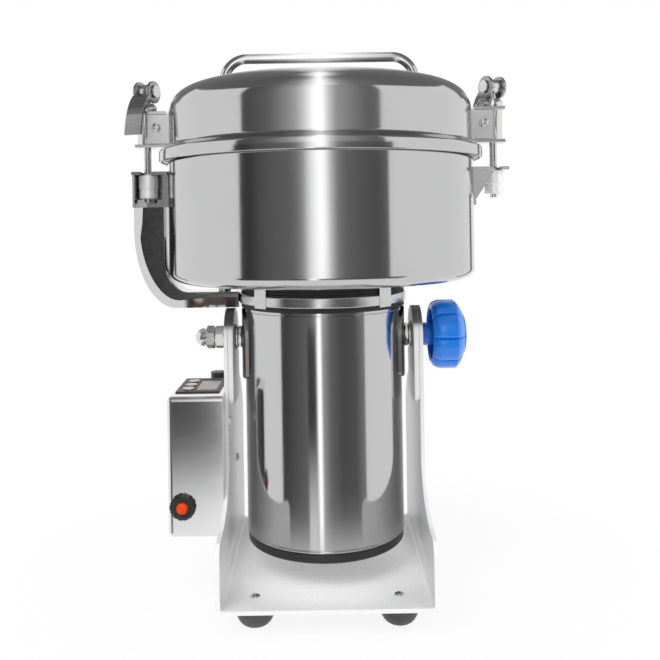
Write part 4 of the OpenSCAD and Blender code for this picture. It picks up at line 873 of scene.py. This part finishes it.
def build_arm():
    """The cast arm: a flat face with a wide bevel along its outer edge, and the catch box on top."""
    outer = ([(ARM_OUT, CATCH_LOW), (ARM_OUT, 291)] + arc(ARM_OUT + 33, 282.2, 33, 62, 180, 270, 20)
             + [(-100, 220.2), (-84, 220.2), (-COLLAR_R, 220.2)])
    inner = ([(ARM_IN, CATCH_LOW), (ARM_IN, 279)] + arc(ARM_IN + 17.2, 258, 17.2, 25, 180, 270, 20)
             + [(-94, 233), (-81, 233), (-COLLAR_R, 233)])
    spine, bevel, ease = 6.5, 8.8, 1.3      # half width of the outer edge, run of its bevels, inner corners
    bm = bmesh.new()
    rings = []
    for (ox, oz), (ix, iz) in zip(outer, inner):
        span = math.hypot(ix - ox, iz - oz)
        section = [(0, -spine), (bevel, -ARM_HALF), (span - ease, -ARM_HALF), (span, ease - ARM_HALF),
                   (span, ARM_HALF - ease), (span - ease, ARM_HALF), (bevel, ARM_HALF), (0, spine)]
        rings.append([bm.verts.new((ox + (ix - ox) * u / span, y, oz + (iz - oz) * u / span)) for u, y in section])
    for low, high in zip(rings, rings[1:]):
        for k in range(len(low)):
            j = (k + 1) % len(low)
            bm.faces.new([low[k], low[j], high[j], high[k]])
    bm.faces.new(rings[0])
    bm.faces.new(list(reversed(rings[-1])))
    # catch box: outer and inner walls, back and the slotted plate on top
    for left, right, front in ((ARM_OUT, -146.3, -11.5), (-128.6, ARM_IN, -13.4)):
        wall = round_corners([(left, front), (right, front), (right, ARM_HALF), (left, ARM_HALF)], 0.7, 3)
        add_prism(bm, wall, CATCH_LOW, CATCH_TOP)
    add_block(bm, (-147.5, 11, CATCH_LOW), (-123, ARM_HALF, CATCH_TOP))
    slot_r = 3.75
    slot = [(-LATCH_X - slot_r, -ARM_HALF), (-LATCH_X - slot_r, 0)] + arc(-LATCH_X, 0, slot_r, slot_r, 180, 0, 10)[1:]
    plate = ([(ARM_OUT, ARM_HALF), (ARM_OUT, -ARM_HALF)] + slot
             + [(-LATCH_X + slot_r, -ARM_HALF), (-120.4, -ARM_HALF), (-120.4, ARM_HALF)])
    add_prism(bm, plate, CATCH_TOP - 2.5, CATCH_TOP)
    collar, seat = bmesh.new(), COLLAR_R + 0.05
    add_lathe(collar, [(0, 210), (seat, 210), (seat, 236), (0, 236)])
    piece = dress(bm, "catch_arm", CHROME, "tilt_head", ["interlock_arm"], cuts=collar)
    # painted reflection: the flat faces under the catch box that look to the front are painted dark, standing in for
    # the dark surroundings that the chrome mirrors
    piece.data.materials.append(ARM_PAINTED_REFLECTION)
    for face in piece.data.polygons:
        if face.normal.y < -0.98 and face.center.z < CATCH_LOW * MM and face.center.y < (1 - ARM_HALF) * MM:
            face.material_index = 1


def build_barrel_nuts():
    bm = bmesh.new()
    profile = [(3.05, 307.4), (3.5, 307), (6.6, 307), (7.1, 307.5), (7.1, 313.2), (6.8, 313.6), (6.8, 314.2),
               (7.2, 314.5), (7.5, 315), (7.5, 324.8), (6.9, 325.5), (3.5, 325.5), (3.05, 325.1)]
    for side in (-1, 1):
        add_lathe(bm, profile, FINE, at(LATCH_X * side, 0, 0))
    dress(bm, "rod_nuts", BRIGHT_PLATE, "tilt_head", ["barrel_nuts"])


def cross(size, width):
    """Outline of a cross recess."""
    h, w = size / 2, width / 2
    return [(w, w), (w, h), (-w, h), (-w, w), (-h, w), (-h, -w), (-w, -w), (-w, -h), (w, -h), (w, -w), (h, -w), (h, w)]


def build_ear_screws():
    bm, recess = bmesh.new(), bmesh.new()
    head = [(3.75, 0), (3.75, 0.4), (3.45, 0.55), (3.2, 0.2), (3.05, 0.2), (3.0, 1.2), (2.5, 1.7), (1.4, 1.95), (0, 2)]
    for side in (-1, 1):
        for axis, y in (("-Y", -10), ("+Y", 10)):
            place = at(129 * side, y, 362.5, axis, 0.5 * side)
            add_lathe(bm, [(0, -9.9), (2, -9.9), (2, 0)] + head, FINE, place)
            add_prism(recess, cross(4.2, 1.0), 0.75, 3, place=place)
    dress(bm, "ear_pivot_screws", PLATED, "lid_group", ["ear_screws"], cuts=recess)


def build_sheet_screws():
    """Small domed screws with a cross recess: in the upright for the box, and in the base for the feet."""
    bm, recess = bmesh.new(), bmesh.new()
    for y, z in ((31.9, 142.2), (-16.7, 133.7), (31.9, 91.3)):
        place = at(-UPRIGHT_X, y, z, "+X", 0.6)
        add_lathe(bm, [(0, -10), (2, -10), (2, 0), (3.25, 0), (3.25, 0.9), (2.8, 1.7), (1.7, 2.2), (0, 2.3)], 40,
                  place)
        add_prism(recess, cross(3.2, 0.8), 1.3, 3, place=place)
    dress(bm, "box_pan_screws", BRIGHT_PLATE, "stand", ["box_screws"], cuts=recess)
    bm, recess = bmesh.new(), bmesh.new()
    for x in (-51.4, 51.4):
        for y in (-69, 69):
            place = at(x, y, 19.5, "+Z", 0.4)
            add_lathe(bm, [(0, -12), (2, -12), (2, 0), (3.5, 0), (3.3, 0.6), (2.4, 1.2), (1.2, 1.38), (0, 1.4)], 40,
                      place)
            add_prism(recess, cross(3.6, 0.9), 0.5, 3, place=place)
    dress(bm, "foot_pan_screws", PLATED, "stand", ["foot_screws"], cuts=recess)


# Control box

def build_box():
    """The sheet box, with the solid's openings and every outer edge rounded."""
    shell, block = from_node("control_housing"), bmesh.new()
    right = -77
    add_block(block, (-119, BOX_FRONT, 50), (right, -BOX_FRONT, 156))
    outer = [e for e in block.edges if min(v.co.x for v in e.verts) < right - 1]
    bmesh.ops.bevel(block, geom=outer, offset=3.8, segments=8, profile=0.5, affect="EDGES")
    bm = cut_out(shell, block, "INTERSECT")
    dress(bm, "box_shell", BOX_STEEL, "stand", ["control_housing"])


def build_panel():
    """The panel's printed outlines and its three low oval keys."""
    bm = bmesh.new()
    print_top = PANEL_TOP + 0.12
    ovals = [Matrix.Translation((KEY_X, KEY_Y + KEY_STEP * i, 0)) @ Matrix.Scale(1.15, 4, (0, 1, 0)) for i in range(3)]
    for oval in ovals:
        add_lathe(bm, [(4.9, PANEL_TOP), (5.6, PANEL_TOP), (5.6, print_top), (4.9, print_top)], 48, oval)
    for low, high in (((-101.4, -15.4), (-83.6, -14.6)), ((-101.4, 26.6), (-83.6, 27.4)),
                      ((-101.4, -14.6), (-100.6, 26.6)), ((-84.4, -14.6), (-83.6, 26.6))):
        add_block(bm, (*low, PANEL_TOP), (*high, print_top))
    dress(bm, "panel_outlines", ORANGE_PRINT, "stand")
    for i, oval in enumerate(ovals):
        bm = bmesh.new()
        add_lathe(bm, [(0, 153.6), (2.6, 153.6), (2.6, 157.6), (4.4, 157.64), (4.6, 157.8), (4.3, 158), (2.5, 158.1),
                       (0, 158.1)], 48, oval)
        dress(bm, f"key_{i + 1}", WHITE_KEY, f"button_{i + 1}", [f"panel_button_{i + 1}"])


def build_breaker():
    """The breaker's round nut with its notches, and the domed reset button."""
    bm, notches = bmesh.new(), bmesh.new()
    middle, count = (BREAKER_X, BOX_FRONT, BREAKER_Z), 14
    add_lathe(bm, [(6.05, 0), (9.2, 0), (9.8, 0.6), (9.8, 2.4), (9.2, 3.2), (8.1, 3.6), (6.6, 3.6), (6.05, 3.2)], 96,
              at(*middle, "-Y"))
    for i in range(count):
        turn = Matrix.Translation(middle) @ Matrix.Rotation(2 * PI / count * (i + 0.5), 4, "Y") @ turned_to("-Y")
        add_block(notches, (8.9, -0.55, -1), (11, 0.55, 5), turn)
    dress(bm, "breaker_nut", DARK_PLASTIC, "stand", ["breaker_collar"], cuts=notches)
    bm = bmesh.new()
    add_lathe(bm, [(0, -10.7), (4.2, -10.7), (4.2, -2.9), (5.2, -2.9), (5.2, -1.8), (4.2, -1.8), (4.2, 4.6),
                   (4.05, 5.5), (3.3, 6.2), (2.0, 6.5), (0, 6.6)], FINE, at(*middle, "-Y"))
    dress(bm, "reset_key", RED_KEY, "reset", ["reset_button"])


def build_stand():
    """The bent sheet of the stand: its own shape with eased edges."""
    dress(from_node("stand_frame"), "stand_sheet", STAND_STEEL, "stand", ["stand_frame"], bevel=0.4,
          angle=35)


build_bowl()
build_lid()
build_handle()
build_motor()
build_end_cap()
build_stand()
build_pivot()
build_knob()
build_arm()
build_barrel_nuts()
build_ear_screws()
build_sheet_screws()
build_box()
build_panel()
build_breaker()

# Finishes of the solids that keep their own shape, each with the width of its eased edges in millimetres
KEPT = {
    PLATED: {"pivot_bolt": 0.4, "pivot_washers": 0.25, "motor_bearings": 0.3, "arm_screws": 0.4, "motor_shaft": 0.5,
             "blade_spacer": 0.4, "blade_nut": 0.5, "knob_stud": 0.3, "latch_trunnions": 0.3, "latch_saddles": 0.3,
             "latch_rods": 0.3, "lever_pins": 0.3},
    CATCH_STEEL: {"bowl_catch": 0.2, "lower_blade": 0.3, "upper_blade": 0.3, "latch_ears": 0.25},
    LEVER_STEEL: {"lever_left": 0.35, "lever_right": 0.35},
    BOX_STEEL: {"control_back": 0.2},
    CAST_METAL: {"end_bell": 0.5},
    LAMINATION: {"stator_core": 0.0, "rotor_core": 0.0},
    COPPER: {"stator_windings": 1.5, "commutator": 0.2},
    BLACK_PLASTIC: {"breaker_body": 0.2, "cable_gland": 0.3, "cooling_fan": 0.2},
    PANEL_FILM: {"control_panel": 0.15},
    WINDOW: {"display_window": 0.1},
    BOARD: {"control_board": 0.1},
    CARBON: {"carbon_brushes": 0.2},
    RUBBER: {"shaft_seal": 0.3},
    FOOT_RUBBER: {"rubber_feet": 0.3},
    SILICONE: {"lid_gasket": 0.3},
}
for finish, pieces in KEPT.items():
    for node, edge in pieces.items():
        keep(node, finish, edge)
